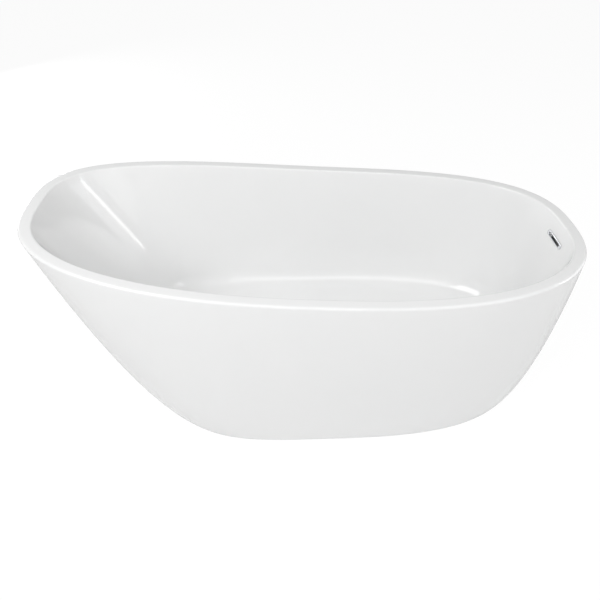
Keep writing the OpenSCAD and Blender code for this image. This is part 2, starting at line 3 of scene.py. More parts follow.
import bmesh
import bpy
import numpy as np
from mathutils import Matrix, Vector


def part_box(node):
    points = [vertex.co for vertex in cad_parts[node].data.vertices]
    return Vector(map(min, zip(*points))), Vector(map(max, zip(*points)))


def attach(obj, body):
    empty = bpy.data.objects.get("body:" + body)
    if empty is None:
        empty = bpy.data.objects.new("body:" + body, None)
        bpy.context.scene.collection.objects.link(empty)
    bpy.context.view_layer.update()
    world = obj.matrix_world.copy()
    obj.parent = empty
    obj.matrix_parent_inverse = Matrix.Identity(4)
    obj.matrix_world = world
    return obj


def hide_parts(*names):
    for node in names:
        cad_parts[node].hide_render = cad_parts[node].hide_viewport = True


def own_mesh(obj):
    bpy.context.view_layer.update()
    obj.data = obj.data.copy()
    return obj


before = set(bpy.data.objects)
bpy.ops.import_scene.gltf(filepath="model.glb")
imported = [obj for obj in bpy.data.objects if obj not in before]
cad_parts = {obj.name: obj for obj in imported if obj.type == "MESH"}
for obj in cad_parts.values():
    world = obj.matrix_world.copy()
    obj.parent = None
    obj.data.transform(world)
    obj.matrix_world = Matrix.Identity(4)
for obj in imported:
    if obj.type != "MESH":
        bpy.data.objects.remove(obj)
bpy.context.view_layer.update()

# ---------------------------------------------------------------------------
# Camera. Stands in front of the near long side, above the rim and close to
# it, looking down into the basin.
camera_data = bpy.data.cameras.new("camera")
camera = bpy.data.objects.new("camera", camera_data)
bpy.context.scene.collection.objects.link(camera)
bpy.context.scene.camera = camera
look_az, look_el = math.radians(-1.92), math.radians(40.69)
look_back = Vector((math.sin(look_az) * math.cos(look_el),
                    -math.cos(look_az) * math.cos(look_el),
                    math.sin(look_el)))
look_at = Vector((-0.0325, 0.0, 0.3034))
look_away = 1.926
camera.location = look_at + look_back * look_away
camera.rotation_mode = "QUATERNION"
camera.rotation_quaternion = (-look_back).to_track_quat("-Z", "Y")
camera_data.sensor_width = 36.0
camera_data.lens = 32.838
camera_data.clip_start, camera_data.clip_end = 0.01, 60.0

# ---------------------------------------------------------------------------
# Basin. One vacuum-formed sheet of white gloss acrylic, 4 mm thick: a flat
# rim with a rolled outer edge and turned-down lip, steep sides, a long sloped
# back at the raised end, and a recess and hole for the waste.
half_len, half_wid = 0.850, 0.400
rim_mid, rim_fall, rim_lift = 0.617, 0.057, 0.039
wide_shift = 0.058
rim_w, edge_out, edge_in = 0.038, 0.008, 0.006
floor_z, sheet, backing = 0.150, 0.004, 0.003
under_z = floor_z - sheet - backing
gap_z = 0.002                       # skirt bottom above the floor
base_head, base_foot, base_side = 0.488, 0.717, 0.370
cor_head, cor_foot, cor_side = 0.500, 0.735, 0.294
rim_curve, base_curve, cor_curve = (2.8, 2.6), (3.2, 3.13), (3.2, 2.7)  # head, foot
waste_x, drain_round, floor_fall = 0.430, 0.045, 0.008
seam_w = 0.97                       # share of the skirt height at the seam
slot_drop, slot_h = 0.059, 0.014
COLS = 240                          # columns round the moulded sheets


def columns(n):
    i = np.arange(n)
    return np.radians(360.0 * i / n + 5.0 * np.sin(np.radians(720.0 * i / n)))


def oval(t, cx, head, foot, side, n_head, n_foot):
    c, s = np.cos(t), np.sin(t)
    n = np.where(c < 0, n_head, n_foot)
    k = (np.abs(c) ** n + np.abs(s) ** n) ** (-1.0 / n)
    return np.stack([cx + np.where(c < 0, head, foot) * c * k, side * s * k], -1)


def rim_outline(t):
    return oval(t, wide_shift, half_len + wide_shift, half_len - wide_shift,
                half_wid, *rim_curve)


def base_outline(t):
    return oval(t, 0, base_head, base_foot, base_side, *base_curve)


def corner_outline(t):
    return oval(t, 0, cor_head, cor_foot, cor_side, *cor_curve)


def outward(outline, t, step=0.0087):
    d = outline(t + step) - outline(t - step)
    d /= np.linalg.norm(d, axis=-1, keepdims=True)
    return np.stack([d[..., 1], -d[..., 0]], -1)


def rim_height(x):
    u = x / half_len
    return rim_mid - rim_fall * u + rim_lift * u * u


def rim_point(t, inset, drop):
    p = rim_outline(t) - np.reshape(inset, (-1, 1)) * outward(rim_outline, t)
    return np.column_stack([p, rim_height(p[:, 0]) - drop])


def blend_ends(t, head, foot, side):
    h, f = np.maximum(-np.cos(t), 0) ** 2, np.maximum(np.cos(t), 0) ** 2
    return head * h + foot * f + side * (1 - h - f)


def skin(t, w):
    k1, k2 = blend_ends(t, 0.42, 0.9, 0.0), blend_ends(t, 0.35, 0.02, 0.02)
    r = 3 * w * (1 - w) ** 2 * k1 + 3 * w * w * (1 - w) * (1 - k2) + w ** 3
    h = 1.65 * w * w * (1 - w) + w ** 3
    a, b = base_outline(t), rim_outline(t)
    top = rim_height(b[:, 0]) - edge_out
    return np.column_stack([a * (1 - r)[:, None] + b * r[:, None],
                            gap_z + (top - gap_z) * h])


def unit(v):
    return v / np.linalg.norm(v, axis=-1, keepdims=True)


def skin_row(t, w, depth=0.0):
    n = unit(np.cross(skin(t + 0.007, w) - skin(t - 0.007, w),
                      skin(t, w + 0.004) - skin(t, w - 0.004)))
    return skin(t, w) - depth * n


def floor_height(p):
    away = np.hypot(p[:, 0] - waste_x, p[:, 1])
    return floor_z + floor_fall * np.maximum(0, away - drain_round)


def edge_point(t, share):
    p = rim_outline(t) - rim_w * outward(rim_outline, t)
    away = np.linalg.norm(p - corner_outline(t), axis=1)
    lean = np.arctan2(away, rim_height(p[:, 0]) - floor_z)
    a = (math.pi / 2 - lean) * share
    return rim_point(t, rim_w - edge_in + edge_in * np.sin(a),
                     edge_in - edge_in * np.cos(a))


def wall(t, v):
    p, c = edge_point(t, 1.0), corner_outline(t)
    fillet = blend_ends(t, 0.130, 0.080, 0.056)
    f = c - fillet[:, None] * outward(corner_outline, t)
    f = np.column_stack([f, floor_height(f)])
    c = np.column_stack([c, floor_height(c)])
    reach = np.linalg.norm(c - p, axis=1)
    a = p + (c - p) * (1 - fillet / reach)[:, None]
    if v <= 1:
        return p + (a - p) * v
    u = v - 1
    b1, b2 = a + 0.58 * (c - a), f + 0.58 * (c - f)
    q = 1 - u
    return q ** 3 * a + 3 * q * q * u * b1 + 3 * q * u * u * b2 + u ** 3 * f


def wall_row(t, v, depth=0.0):
    if depth == 0:
        return wall(t, v)
    if v >= 2:
        return wall(t, 2) - np.array([0, 0, depth])
    n = unit(np.cross(wall(t + 0.007, v) - wall(t - 0.007, v),
                      wall(t, max(v - 0.004, 0)) - wall(t, min(v + 0.004, 2))))
    return wall(t, v) + depth * n


def waste_ring(t, radius, z):
    return np.column_stack([waste_x + radius * np.cos(t),
                            radius * np.sin(t), np.full(len(t), z)])


def new_piece(name, verts, faces, smooth=True):
    mesh = bpy.data.meshes.new(name)
    mesh.from_pydata([tuple(v) for v in verts], [], [tuple(f) for f in faces])
    mesh.update()
    if smooth:
        mesh.shade_smooth()
    piece = bpy.data.objects.new(name, mesh)
    bpy.context.scene.collection.objects.link(piece)
    return piece


def shell_piece(name, rows, hole=None):
    """Rings of points closed on themselves into a sheet with real thickness.
    hole = (first row, last row, columns each side) on one face, and the same
    on the other, joined by walls."""
    rows = [np.asarray(r) for r in rows]
    n, k = len(rows[0]), len(rows)
    ids = np.arange(k * n).reshape(k, n)
    a, b = ids, np.roll(ids, -1, axis=0)
    quads = np.stack([a, np.roll(a, -1, 1), np.roll(b, -1, 1), b], -1)
    keep = np.ones((k, n), bool)
    faces = []
    if hole:
        (a0, a1), (b0, b1), side = hole
        span = np.r_[n - side:n, 0:side]
        for lo, hi in ((a0, a1), (b0, b1)):
            for r in range(lo, hi):
                keep[r, span] = False
        ring = [(a0, c) for c in range(-side, side)]
        ring += [(r, side) for r in range(a0, a1)]
        ring += [(a1, c) for c in range(side, -side, -1)]
        ring += [(r, -side) for r in range(a1, a0, -1)]
        other = {r: b1 - (r - a0) for r in range(a0, a1 + 1)}
        for (r1, c1), (r2, c2) in zip(ring, ring[1:] + ring[:1]):
            faces.append((ids[r2, c2 % n], ids[r1, c1 % n],
                          ids[other[r1], c1 % n], ids[other[r2], c2 % n]))
    faces = [tuple(q) for q in quads[keep]] + faces
    return new_piece(name, np.concatenate(rows), faces)


def arc_rows(n):
    return [(i + 1) / n for i in range(n)]


def skin_steps(lo, hi, n):
    return [lo + (hi - lo) * i / n for i in range(n + 1)]


t = columns(COLS)
slope_len = float(np.linalg.norm(wall(t[:1], 1) - wall(t[:1], 0)))
slot_top = (slot_drop - edge_in - slot_h / 2) / slope_len
slot_bottom = slot_top + slot_h / slope_len
lip = [skin_row(t, w) for w in skin_steps(seam_w, 1.0, 5)]
rolled = [rim_point(t, edge_out * (1 - math.cos(a)), edge_out * (1 - math.sin(a)))
          for a in [math.radians(x) for x in range(10, 90, 10)]]
flat = [rim_point(t, x, 0.0) for x in (edge_out, 0.014, 0.020, 0.026, rim_w - edge_in)]
inner_edge = [edge_point(t, s) for s in arc_rows(7)[:-1]]
wall_at = ([0, slot_top * 0.5, slot_top, slot_bottom]
           + [slot_bottom + (1 - slot_bottom) * s for s in arc_rows(14)]
           + [1 + s for s in arc_rows(20)])
inside = [wall_row(t, v) for v in wall_at]
floor_ring = inside[-1]
floor_rows = [floor_ring * (1 - s) + waste_ring(t, drain_round, floor_z) * s
              for s in (0.15, 0.35, 0.6, 0.8)]
drain = [waste_ring(t, r, z) for r, z in (
    (drain_round, floor_z), (0.0395, floor_z), (0.0383, floor_z - 0.0005),
    (0.038, floor_z - 0.0015), (0.038, floor_z - 0.003), (0.025, floor_z - 0.003),
    (0.025, under_z), (drain_round, under_z), (drain_round, floor_z - sheet))]
outside = [wall_row(t, v, sheet) for v in reversed(wall_at)]
under_rim = [rim_point(t, rim_w - edge_in, sheet), rim_point(t, edge_out + 0.004, sheet),
             rim_point(t, edge_out, sheet)]
lip_back = [skin_row(t, w, sheet) for w in reversed(skin_steps(seam_w, 1.0, 5))]
head_rows = lip + rolled + flat + inner_edge
slot_a = len(head_rows) + 2
slot_b = len(head_rows) + len(inside) + len(floor_rows) + len(drain) + len(inside) - 4
basin = shell_piece("basin_sheet", head_rows + inside + floor_rows + drain + outside
                    + under_rim + lip_back,
                    hole=((slot_a, slot_a + 1), (slot_b, slot_b + 1), 4))
basin.data.set_sharp_from_angle(angle=math.radians(40))


def texture_space(tree, scale=(1, 1, 1)):
    coord = tree.nodes.new("ShaderNodeTexCoord")
    place = tree.nodes.new("ShaderNodeMapping")
    place.inputs["Scale"].default_value = scale
    tree.links.new(coord.outputs["Object"], place.inputs["Vector"])
    return place.outputs["Vector"]


def new_group(name, inputs, outputs):
    group = bpy.data.node_groups.new(name, "ShaderNodeTree")
    for kind, label, value in inputs:
        socket = group.interface.new_socket(name=label, in_out="INPUT",
                                            socket_type="NodeSocket" + kind)
        socket.default_value = value
    for kind, label in outputs:
        group.interface.new_socket(name=label, in_out="OUTPUT",
                                   socket_type="NodeSocket" + kind)
    return (group, group.nodes.new("NodeGroupInput").outputs,
            group.nodes.new("NodeGroupOutput").inputs)


def node(tree, kind, links=None, **values):
    made = tree.nodes.new("ShaderNode" + kind)
    for key, value in values.items():
        setattr(made, key, value)
    for key, value in (links or {}).items():
        socket = made.inputs[key]
        if isinstance(value, bpy.types.NodeSocket):
            tree.links.new(value, socket)
        else:
            socket.default_value = value
    return made


# cloudy drift of tone, as in any cast, formed or coated surface
mottle, into, out = new_group("mottle", [
    ("Color", "Tone", (0.8, 0.8, 0.8, 1)), ("Color", "Drift", (0.7, 0.7, 0.7, 1)),
    ("Float", "Scale", 20.0), ("Float", "Amount", 0.5)],
    [("Color", "Color"), ("Float", "Mask")])
where = texture_space(mottle)
cloud = node(mottle, "TexNoise", {"Vector": where, "Scale": into["Scale"],
                                  "Detail": 5.0, "Roughness": 0.6})
fine = node(mottle, "MapRange", {"Value": cloud.outputs["Fac"], "From Min": 0.35,
                                 "From Max": 0.65})
part = node(mottle, "Math", {0: fine.outputs["Result"], 1: into["Amount"]},
            operation="MULTIPLY")
mixed = node(mottle, "Mix", {"Factor": part.outputs[0]}, data_type="RGBA")
mottle.links.new(into["Tone"], mixed.inputs[6])
mottle.links.new(into["Drift"], mixed.inputs[7])
mottle.links.new(mixed.outputs[2], out["Color"])
mottle.links.new(part.outputs[0], out["Mask"])

# the faint long-wave ripple of a polished formed sheet
ripple, into, out = new_group("ripple", [
    ("Float", "Scale", 14.0), ("Float", "Depth", 0.0004), ("Float", "Strength", 0.3)],
    [("Vector", "Normal")])
where = texture_space(ripple)
waves = node(ripple, "TexNoise", {"Vector": where, "Scale": into["Scale"], "Detail": 1.5})
raised = node(ripple, "Bump", {"Height": waves.outputs["Fac"],
                               "Distance": into["Depth"], "Strength": into["Strength"]})
ripple.links.new(raised.outputs["Normal"], out["Normal"])

acrylic = bpy.data.materials.new("white_acrylic")
acrylic.use_nodes = True
tree = acrylic.node_tree
shader = tree.nodes["Principled BSDF"]
tone = node(tree, "Group", node_tree=mottle)
tone.inputs["Tone"].default_value = (0.880, 0.882, 0.880, 1)
tone.inputs["Drift"].default_value = (0.868, 0.872, 0.872, 1)
tone.inputs["Scale"].default_value = 3.0
tone.inputs["Amount"].default_value = 0.6
wave = node(tree, "Group", node_tree=ripple)
wave.inputs["Scale"].default_value = 9.0
wave.inputs["Depth"].default_value = 0.0006
wave.inputs["Strength"].default_value = 0.25
smear = node(tree, "TexNoise", {"Vector": texture_space(tree), "Scale": 6.0, "Detail": 4.0})
polish = node(tree, "MapRange", {"Value": smear.outputs["Fac"], "From Min": 0.3,
                                 "From Max": 0.7, "To Min": 0.05, "To Max": 0.11})
tree.links.new(tone.outputs["Color"], shader.inputs["Base Color"])
tree.links.new(polish.outputs["Result"], shader.inputs["Roughness"])
tree.links.new(wave.outputs["Normal"], shader.inputs["Normal"])
shader.inputs["IOR"].default_value = 1.49
shader.inputs["Coat Weight"].default_value = 0.0
basin.data.materials.append(acrylic)
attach(basin, "tub")
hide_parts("basin")

# ---------------------------------------------------------------------------
# Skirt. A second acrylic sheet round the outside, drawn in toward the floor,
# bonded to the lip of the basin and polished flush so that no joint shows.
# Its bottom edge is turned in as a narrow flange.
flange_w = 0.028
outer_at = [(i / 48.0) ** 1.3 * seam_w for i in range(49)]


def flange_row(t, inset, z):
    p = base_outline(t) - inset * outward(base_outline, t)
    return np.column_stack([p, np.full(len(t), z)])


bend_at = [w for w in outer_at if w > 0.03]
skirt_rows = [skin_row(t, w) for w in outer_at]
skirt_rows[0] = skin(t, 0.0)
skirt_rows += [skin_row(t, w, sheet) for w in reversed(bend_at)]
skirt_rows += [flange_row(t, sheet + 0.002, gap_z + sheet + 0.0006),
               flange_row(t, sheet + 0.006, gap_z + sheet),
               flange_row(t, flange_w, gap_z + sheet), flange_row(t, flange_w, gap_z)]
skirt = shell_piece("skirt_sheet", skirt_rows)
skirt.data.set_sharp_from_angle(angle=math.radians(40))
skirt.data.materials.append(acrylic)
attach(skirt, "tub")
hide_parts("skirt")

# ---------------------------------------------------------------------------
# Fibre backings. Chopped glass strand in polyester resin, sprayed and rolled
# on the hidden side of both sheets, about 3 mm thick and rough on its face.
# The skirt's backing runs up past the seam and ties both sheets together.
rough = np.random.default_rng(7)
fibre_grain = 0.0004


def rough_row(row, inward, depth):
    bump = rough.normal(0.0, depth, len(row))
    bump = (bump + np.roll(bump, 1) + np.roll(bump, -1)) / 2
    return row + unit(inward) * bump[:, None]


def backed_row(v):
    face, back = wall_row(t, v, sheet), wall_row(t, v, sheet + backing)
    return rough_row(back, back - face, fibre_grain)


backed_at = wall_at[:-1] + [2]
under_lip = rim_point(t, edge_out + 0.004, sheet), rim_point(t, rim_w - edge_in, sheet)
fibre_rows = list(under_lip) + [wall_row(t, v, sheet) for v in backed_at]
fibre_rows += [waste_ring(t, drain_round, floor_z - sheet),
               waste_ring(t, drain_round, under_z)]
flat_under = wall_row(t, 2)
flat_under[:, 2] = under_z
fibre_rows += [flat_under] + [backed_row(v) for v in reversed(backed_at[:-1])]
fibre_rows += [rim_point(t, rim_w - edge_in - 0.002, sheet + backing),
               rim_point(t, edge_out + 0.004, sheet + backing)]
first_a = 2 + 2
first_b = 2 + len(backed_at) + 3 + len(backed_at) - 5
basin_fibre = shell_piece("basin_fibre", fibre_rows,
                          hole=((first_a, first_a + 1), (first_b, first_b + 1), 4))

bonded = [w for w in outer_at if w > 0.12] + [0.985]
skirt_fibre = shell_piece(
    "skirt_fibre", [skin_row(t, w, sheet) for w in bonded]
    + [rough_row(skin_row(t, w, sheet + backing),
                 skin_row(t, w, sheet + backing) - skin_row(t, w, sheet), fibre_grain)
       for w in reversed(bonded)])


def make_material(name, metal=0.0, rough_value=0.5):
    made = bpy.data.materials.new(name)
    made.use_nodes = True
    tree = made.node_tree
    shader = tree.nodes["Principled BSDF"]
    shader.inputs["Metallic"].default_value = metal
    shader.inputs["Roughness"].default_value = rough_value
    return made, tree, shader


def mottled(tree, shader, light, dark, scale, amount):
    tone = node(tree, "Group", node_tree=mottle)
    tone.inputs["Tone"].default_value = (*light, 1)
    tone.inputs["Drift"].default_value = (*dark, 1)
    tone.inputs["Scale"].default_value = scale
    tone.inputs["Amount"].default_value = amount
    tree.links.new(tone.outputs["Color"], shader.inputs["Base Color"])


def worn(tree, shader, low, high, scale):
    grain = node(tree, "TexNoise", {"Vector": texture_space(tree), "Scale": scale,
                                    "Detail": 4.0})
    spread = node(tree, "MapRange", {"Value": grain.outputs["Fac"], "From Min": 0.3,
                                     "From Max": 0.7, "To Min": low, "To Max": high})
    tree.links.new(spread.outputs["Result"], shader.inputs["Roughness"])
    return grain


def raised_by(tree, shader, height, depth, strength):
    bump = node(tree, "Bump", {"Height": height, "Distance": depth, "Strength": strength})
    tree.links.new(bump.outputs["Normal"], shader.inputs["Normal"])


def fit_piece(piece, material, body, slot_name, *nodes):
    piece.data.materials.append(material)
    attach(piece, body)
    if nodes:
        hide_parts(*nodes)
    return piece


chopped_glass, tree, shader = make_material("chopped_glass")
mottled(tree, shader, (0.62, 0.66, 0.52), (0.44, 0.48, 0.36), 60.0, 0.8)
worn(tree, shader, 0.28, 0.55, 90.0)
strands = node(tree, "TexVoronoi", {"Vector": texture_space(tree, (1.0, 5.0, 2.0)),
                                    "Scale": 130.0}, feature="DISTANCE_TO_EDGE")
raised_by(tree, shader, strands.outputs["Distance"], 0.0008, 0.6)
fit_piece(basin_fibre, chopped_glass, "tub", "glass_fibre", "basin_backing")
fit_piece(skirt_fibre, chopped_glass, "tub", "glass_fibre", "skirt_backing")

# ---------------------------------------------------------------------------
# Base board. 18 mm plywood bonded under the basin floor, corners rounded,
# edges eased, with one hole for the waste. It carries the frame's screws.
board_lo, board_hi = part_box("base_board")
board_round, board_hole, board_ease = 0.080, 0.050, 0.0012


def board_outline(steps, inset=0.0):
    """The rounded board edge met by rays from the waste hole's centre."""
    a = np.radians(360.0 * np.arange(steps) / steps)
    ray = np.stack([np.cos(a), np.sin(a)], -1)
    lo = np.array(board_lo[:2]) + inset
    hi = np.array(board_hi[:2]) - inset
    centre = np.array([waste_x, 0.0])
    near, far = np.zeros(steps), np.full(steps, 3.0)
    for _ in range(40):
        mid = (near + far) / 2
        p = centre + ray * mid[:, None]
        r = board_round - inset
        q = np.maximum(np.abs(p - (lo + hi) / 2) - ((hi - lo) / 2 - r), 0)
        inside_board = np.hypot(q[:, 0], q[:, 1]) < r
        near, far = np.where(inside_board, mid, near), np.where(inside_board, far, mid)
    return centre + ray * near[:, None]


def level(outline, z):
    return np.column_stack([outline, np.full(len(outline), z)])


def hole_edge(radius, steps):
    a = np.radians(360.0 * np.arange(steps) / steps)
    return np.stack([waste_x + radius * np.cos(a), radius * np.sin(a)], -1)


edge_steps = 360
lo_z, hi_z = board_lo[2], board_hi[2]
board = shell_piece("plywood_board", [
    level(board_outline(edge_steps, board_ease), lo_z),
    level(board_outline(edge_steps), lo_z + board_ease),
    level(board_outline(edge_steps), hi_z - board_ease),
    level(board_outline(edge_steps, board_ease), hi_z),
    level(hole_edge(board_hole, edge_steps), hi_z),
    level(hole_edge(board_hole, edge_steps), lo_z)])
board.data.set_sharp_from_angle(angle=math.radians(35))

# stacked veneers show as alternating stripes on every cut edge
veneer, into, out = new_group("veneer", [
    ("Color", "Light", (0.66, 0.47, 0.28, 1)), ("Color", "Dark", (0.38, 0.22, 0.10, 1)),
    ("Float", "Plies", 0.0014)], [("Color", "Color"), ("Float", "Grain")])
where = texture_space(veneer)
axes = node(veneer, "SeparateXYZ", {"Vector": where})
ply = node(veneer, "Math", {0: axes.outputs["Z"], 1: into["Plies"]}, operation="DIVIDE")
even = node(veneer, "Math", {0: ply.outputs[0], 1: 2.0}, operation="FLOORED_MODULO")
odd = node(veneer, "Math", {0: even.outputs[0], 1: 1.0}, operation="GREATER_THAN")
facing = node(veneer, "NewGeometry")
sides = node(veneer, "SeparateXYZ", {"Vector": facing.outputs["Normal"]})
upright = node(veneer, "Math", {0: sides.outputs["Z"]}, operation="ABSOLUTE")
cut = node(veneer, "Math", {0: upright.outputs[0], 1: 0.5}, operation="LESS_THAN")
stripe = node(veneer, "Math", {0: odd.outputs[0], 1: cut.outputs[0]}, operation="MULTIPLY")
long_grain = node(veneer, "TexNoise", {"Vector": texture_space(veneer, (3.0, 60.0, 60.0)),
                                       "Scale": 4.0, "Detail": 6.0, "Distortion": 0.6})
figure = node(veneer, "MapRange", {"Value": long_grain.outputs["Fac"], "From Min": 0.35,
                                   "From Max": 0.7, "To Max": 0.55})
darker = node(veneer, "Math", {0: figure.outputs["Result"], 1: stripe.outputs[0]},
              operation="MAXIMUM")
wood = node(veneer, "Mix", {"Factor": darker.outputs[0]}, data_type="RGBA")
veneer.links.new(into["Light"], wood.inputs[6])
veneer.links.new(into["Dark"], wood.inputs[7])
veneer.links.new(wood.outputs[2], out["Color"])
veneer.links.new(long_grain.outputs["Fac"], out["Grain"])
plywood, tree, shader = make_material("plywood", rough_value=0.6)
layers = node(tree, "Group", node_tree=veneer)
layers.inputs["Plies"].default_value = 0.0018
tree.links.new(layers.outputs["Color"], shader.inputs["Base Color"])
raised_by(tree, shader, layers.outputs["Grain"], 0.0003, 0.4)
worn(tree, shader, 0.5, 0.75, 30.0)
fit_piece(board, plywood, "tub", "plywood", "base_board")

# ---------------------------------------------------------------------------
# Frame. Square steel tube with rounded corners, cut, stacked and welded: two
# rails, four cross tubes on top of them and one spacer under the middle foot.
# Zinc coated, with its crystal pattern, and dull beads at the welds.
tube_r, tube_wall = 0.003, 0.002


def rounded_square(half, radius, steps=6):
    pts = []
    for k, (sy, sz) in enumerate(((1, 1), (-1, 1), (-1, -1), (1, -1))):
        for s in range(steps + 1):
            a = math.radians(90 * k + 90.0 * s / steps)
            pts.append((sy * (half - radius) + radius * math.cos(a),
                        sz * (half - radius) + radius * math.sin(a)))
    return np.array(pts)


def tube_piece(name, axis, lo, hi):
    lo, hi = np.array(lo), np.array(hi)
    along = "xy".index(axis)
    mid = (lo + hi) / 2
    half = (hi[2] - lo[2]) / 2
    outer = rounded_square(half, tube_r)
    inner = rounded_square(half - tube_wall, tube_r - tube_wall)
    rows = []
    for section, at in ((outer, lo), (outer, hi), (inner, hi), (inner, lo)):
        row = np.zeros((len(section), 3))
        row[:, along] = at[along]
        row[:, 1 - along] = mid[1 - along] + section[:, 0] * (1 if along else -1)
        row[:, 2] = mid[2] + section[:, 1]
        rows.append(row[::-1])
    piece = shell_piece(name, rows)
    piece.data.set_sharp_from_angle(angle=math.radians(40))
    return piece


galvanised, tree, shader = make_material("galvanised_steel", metal=1.0)
spangle = node(tree, "TexVoronoi", {"Vector": texture_space(tree), "Scale": 150.0})
flakes = node(tree, "SeparateColor", {"Color": spangle.outputs["Color"]})
ramp = node(tree, "MapRange", {"Value": flakes.outputs[0], "To Min": 0.28, "To Max": 0.5})
tree.links.new(ramp.outputs["Result"], shader.inputs["Roughness"])
flake_tone = node(tree, "Mix", {"Factor": flakes.outputs[1]}, data_type="RGBA")
flake_tone.inputs[6].default_value = (0.50, 0.51, 0.53, 1)
flake_tone.inputs[7].default_value = (0.66, 0.67, 0.69, 1)
tree.links.new(flake_tone.outputs[2], shader.inputs["Base Color"])

for name in ("rail_left", "rail_right"):
    fit_piece(tube_piece("tube_" + name, "x", *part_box(name)), galvanised, "tub",
              "frame_steel", name)
for name in ("cross_head", "cross_mid", "cross_waste", "cross_foot", "frame_spacer"):
    fit_piece(tube_piece("tube_" + name, "y", *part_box(name)), galvanised, "tub",
              "frame_steel", name)


def bead_rows(start, end, lift):
    """A weld bead: a half-round ridge with the ripple of the arc."""
    radius, steps = 0.0022, 26
    start, end = np.array(start), np.array(end)
    lift = unit(np.array(lift, float))
    across = np.cross(unit(end - start), lift)
    rows = []
    for s in range(steps + 1):
        f = s / steps
        fade = min(1.0, 6 * f + 0.05, 6 * (1 - f) + 0.05)
        r = radius * (1 + 0.14 * math.sin(f * 50)) * fade
        a = np.radians(np.arange(10) * 36.0)[:, None]
        rows.append(start + (end - start) * f + lift * r * np.sin(a) + across * r * np.cos(a))
    return rows


def joined(name, parts):
    """Many small closed or open grids as one piece."""
    verts, faces, base = [], [], 0
    for part_verts, part_faces in parts:
        verts.extend(part_verts)
        faces.extend([tuple(base + i for i in f) for f in part_faces])
        base = len(verts)
    return new_piece(name, verts, faces)


def loft(rows):
    """Rings of equal count joined in order, with both ends closed."""
    rows = [np.asarray(r) for r in rows]
    n = len(rows[0])
    faces = [(k * n + i, k * n + (i + 1) % n, (k + 1) * n + (i + 1) % n, (k + 1) * n + i)
             for k in range(len(rows) - 1) for i in range(n)]
    faces.append(tuple(range(n))[::-1])
    last = (len(rows) - 1) * n
    faces.append(tuple(range(last, last + n)))
    return np.concatenate(rows), faces


def closed_loft(rows):
    """Rings joined in order and the last one back to the first."""
    rows = [np.asarray(r) for r in rows]
    n, k = len(rows[0]), len(rows)
    faces = [(r * n + i, r * n + (i + 1) % n, (r + 1) % k * n + (i + 1) % n,
              (r + 1) % k * n + i) for r in range(k) for i in range(n)]
    return np.concatenate(rows), faces


rail_lo, rail_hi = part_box("rail_left")
rail_y = (rail_lo[1] + rail_hi[1]) / 2
cross_boxes = [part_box(n) for n in ("cross_head", "cross_mid", "cross_waste", "cross_foot")]
joint_z = cross_boxes[0][0][2]
beads = []
for lo, hi in cross_boxes:
    for side in (-1, 1):
        for x, out_x in ((lo[0], -1), (hi[0], 1)):
            ends = [(x, side * (rail_y - 0.011), joint_z), (x, side * (rail_y + 0.011), joint_z)]
            beads.append(loft(bead_rows(*ends, (out_x, 0, 1))))
weld_beads = joined("weld_beads", beads)
weld_metal, tree, shader = make_material("weld_metal", metal=1.0)
mottled(tree, shader, (0.36, 0.35, 0.34), (0.20, 0.18, 0.17), 260.0, 0.8)
worn(tree, shader, 0.42, 0.7, 200.0)
fit_piece(weld_beads, weld_metal, "tub", "frame_steel")

# ---------------------------------------------------------------------------
# End caps. Black moulded plugs pushed into the four open rail ends, with a
# rounded plate outside and three ribs that grip inside the tube.
caps = []
for side in (-1, 1):
    for x, out_x in ((rail_lo[0], -1), (rail_hi[0], 1)):
        half = (rail_hi[2] - rail_lo[2]) / 2
        mid_z = (rail_hi[2] + rail_lo[2]) / 2
        plan = [(-0.012, 0.0085), (-0.0115, 0.0095)]
        for rib in (-0.010, -0.0065, -0.003):
            plan += [(rib, 0.0095), (rib + 0.0004, 0.0103), (rib + 0.0010, 0.0103),
                     (rib + 0.0018, 0.0095)]
        plan += [(0.0, 0.0095), (0.0, half - 0.0003), (0.0004, half), (0.0016, half),
                 (0.0022, half - 0.0006), (0.0025, half - 0.002)]
        rows = []
        for along, reach in plan:
            section = rounded_square(reach, min(0.003, reach * 0.3))
            rows.append(np.column_stack([np.full(len(section), x + out_x * along),
                                         side * rail_y + section[:, 0] * -out_x,
                                         mid_z + section[:, 1]])[::-1])
        caps.append(loft(rows))
black_moulding, tree, shader = make_material("black_moulding")
mottled(tree, shader, (0.018, 0.018, 0.019), (0.030, 0.030, 0.031), 40.0, 0.7)
grain = worn(tree, shader, 0.38, 0.55, 120.0)
raised_by(tree, shader, grain.outputs["Fac"], 0.0001, 0.4)
end_caps = joined("end_caps", caps)
end_caps.data.set_sharp_from_angle(angle=math.radians(40))
fit_piece(end_caps, black_moulding, "tub", "black_plastic", "rail_caps")

# ---------------------------------------------------------------------------
# Nuts, screws and ties. Zinc-plated hexagon nuts welded under the frame and
# lock nuts below them, pan-head screws up through the cross tubes into the
# board, and bent strips from the rails to the skirt's flange, each held by a
# countersunk screw and bedded in a pad of adhesive.
pitch = 0.00175                     # coarse thread of the 12 mm foot stud
foot_at = {k: ((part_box(f"foot_{k}_pad")[0][0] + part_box(f"foot_{k}_pad")[1][0]) / 2,
               (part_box(f"foot_{k}_pad")[0][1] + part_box(f"foot_{k}_pad")[1][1]) / 2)
           for k in range(1, 6)}
bright = (0.78, 0.77, 0.72)


def turned(profile, x, y, steps=64, reach=None):
    """Rings of a profile of (radius, height) pairs turned about a vertical axis.
    reach(angle, radius, height) reshapes a ring, as for flats or ribs."""
    a = np.radians(360.0 * np.arange(steps) / steps)
    rows = []
    for r, z in profile:
        ring = reach(a, r, z) if reach else np.full(steps, r)
        rows.append(np.column_stack([x + ring * np.cos(a), y + ring * np.sin(a),
                                     np.full(steps, z)]))
    return rows


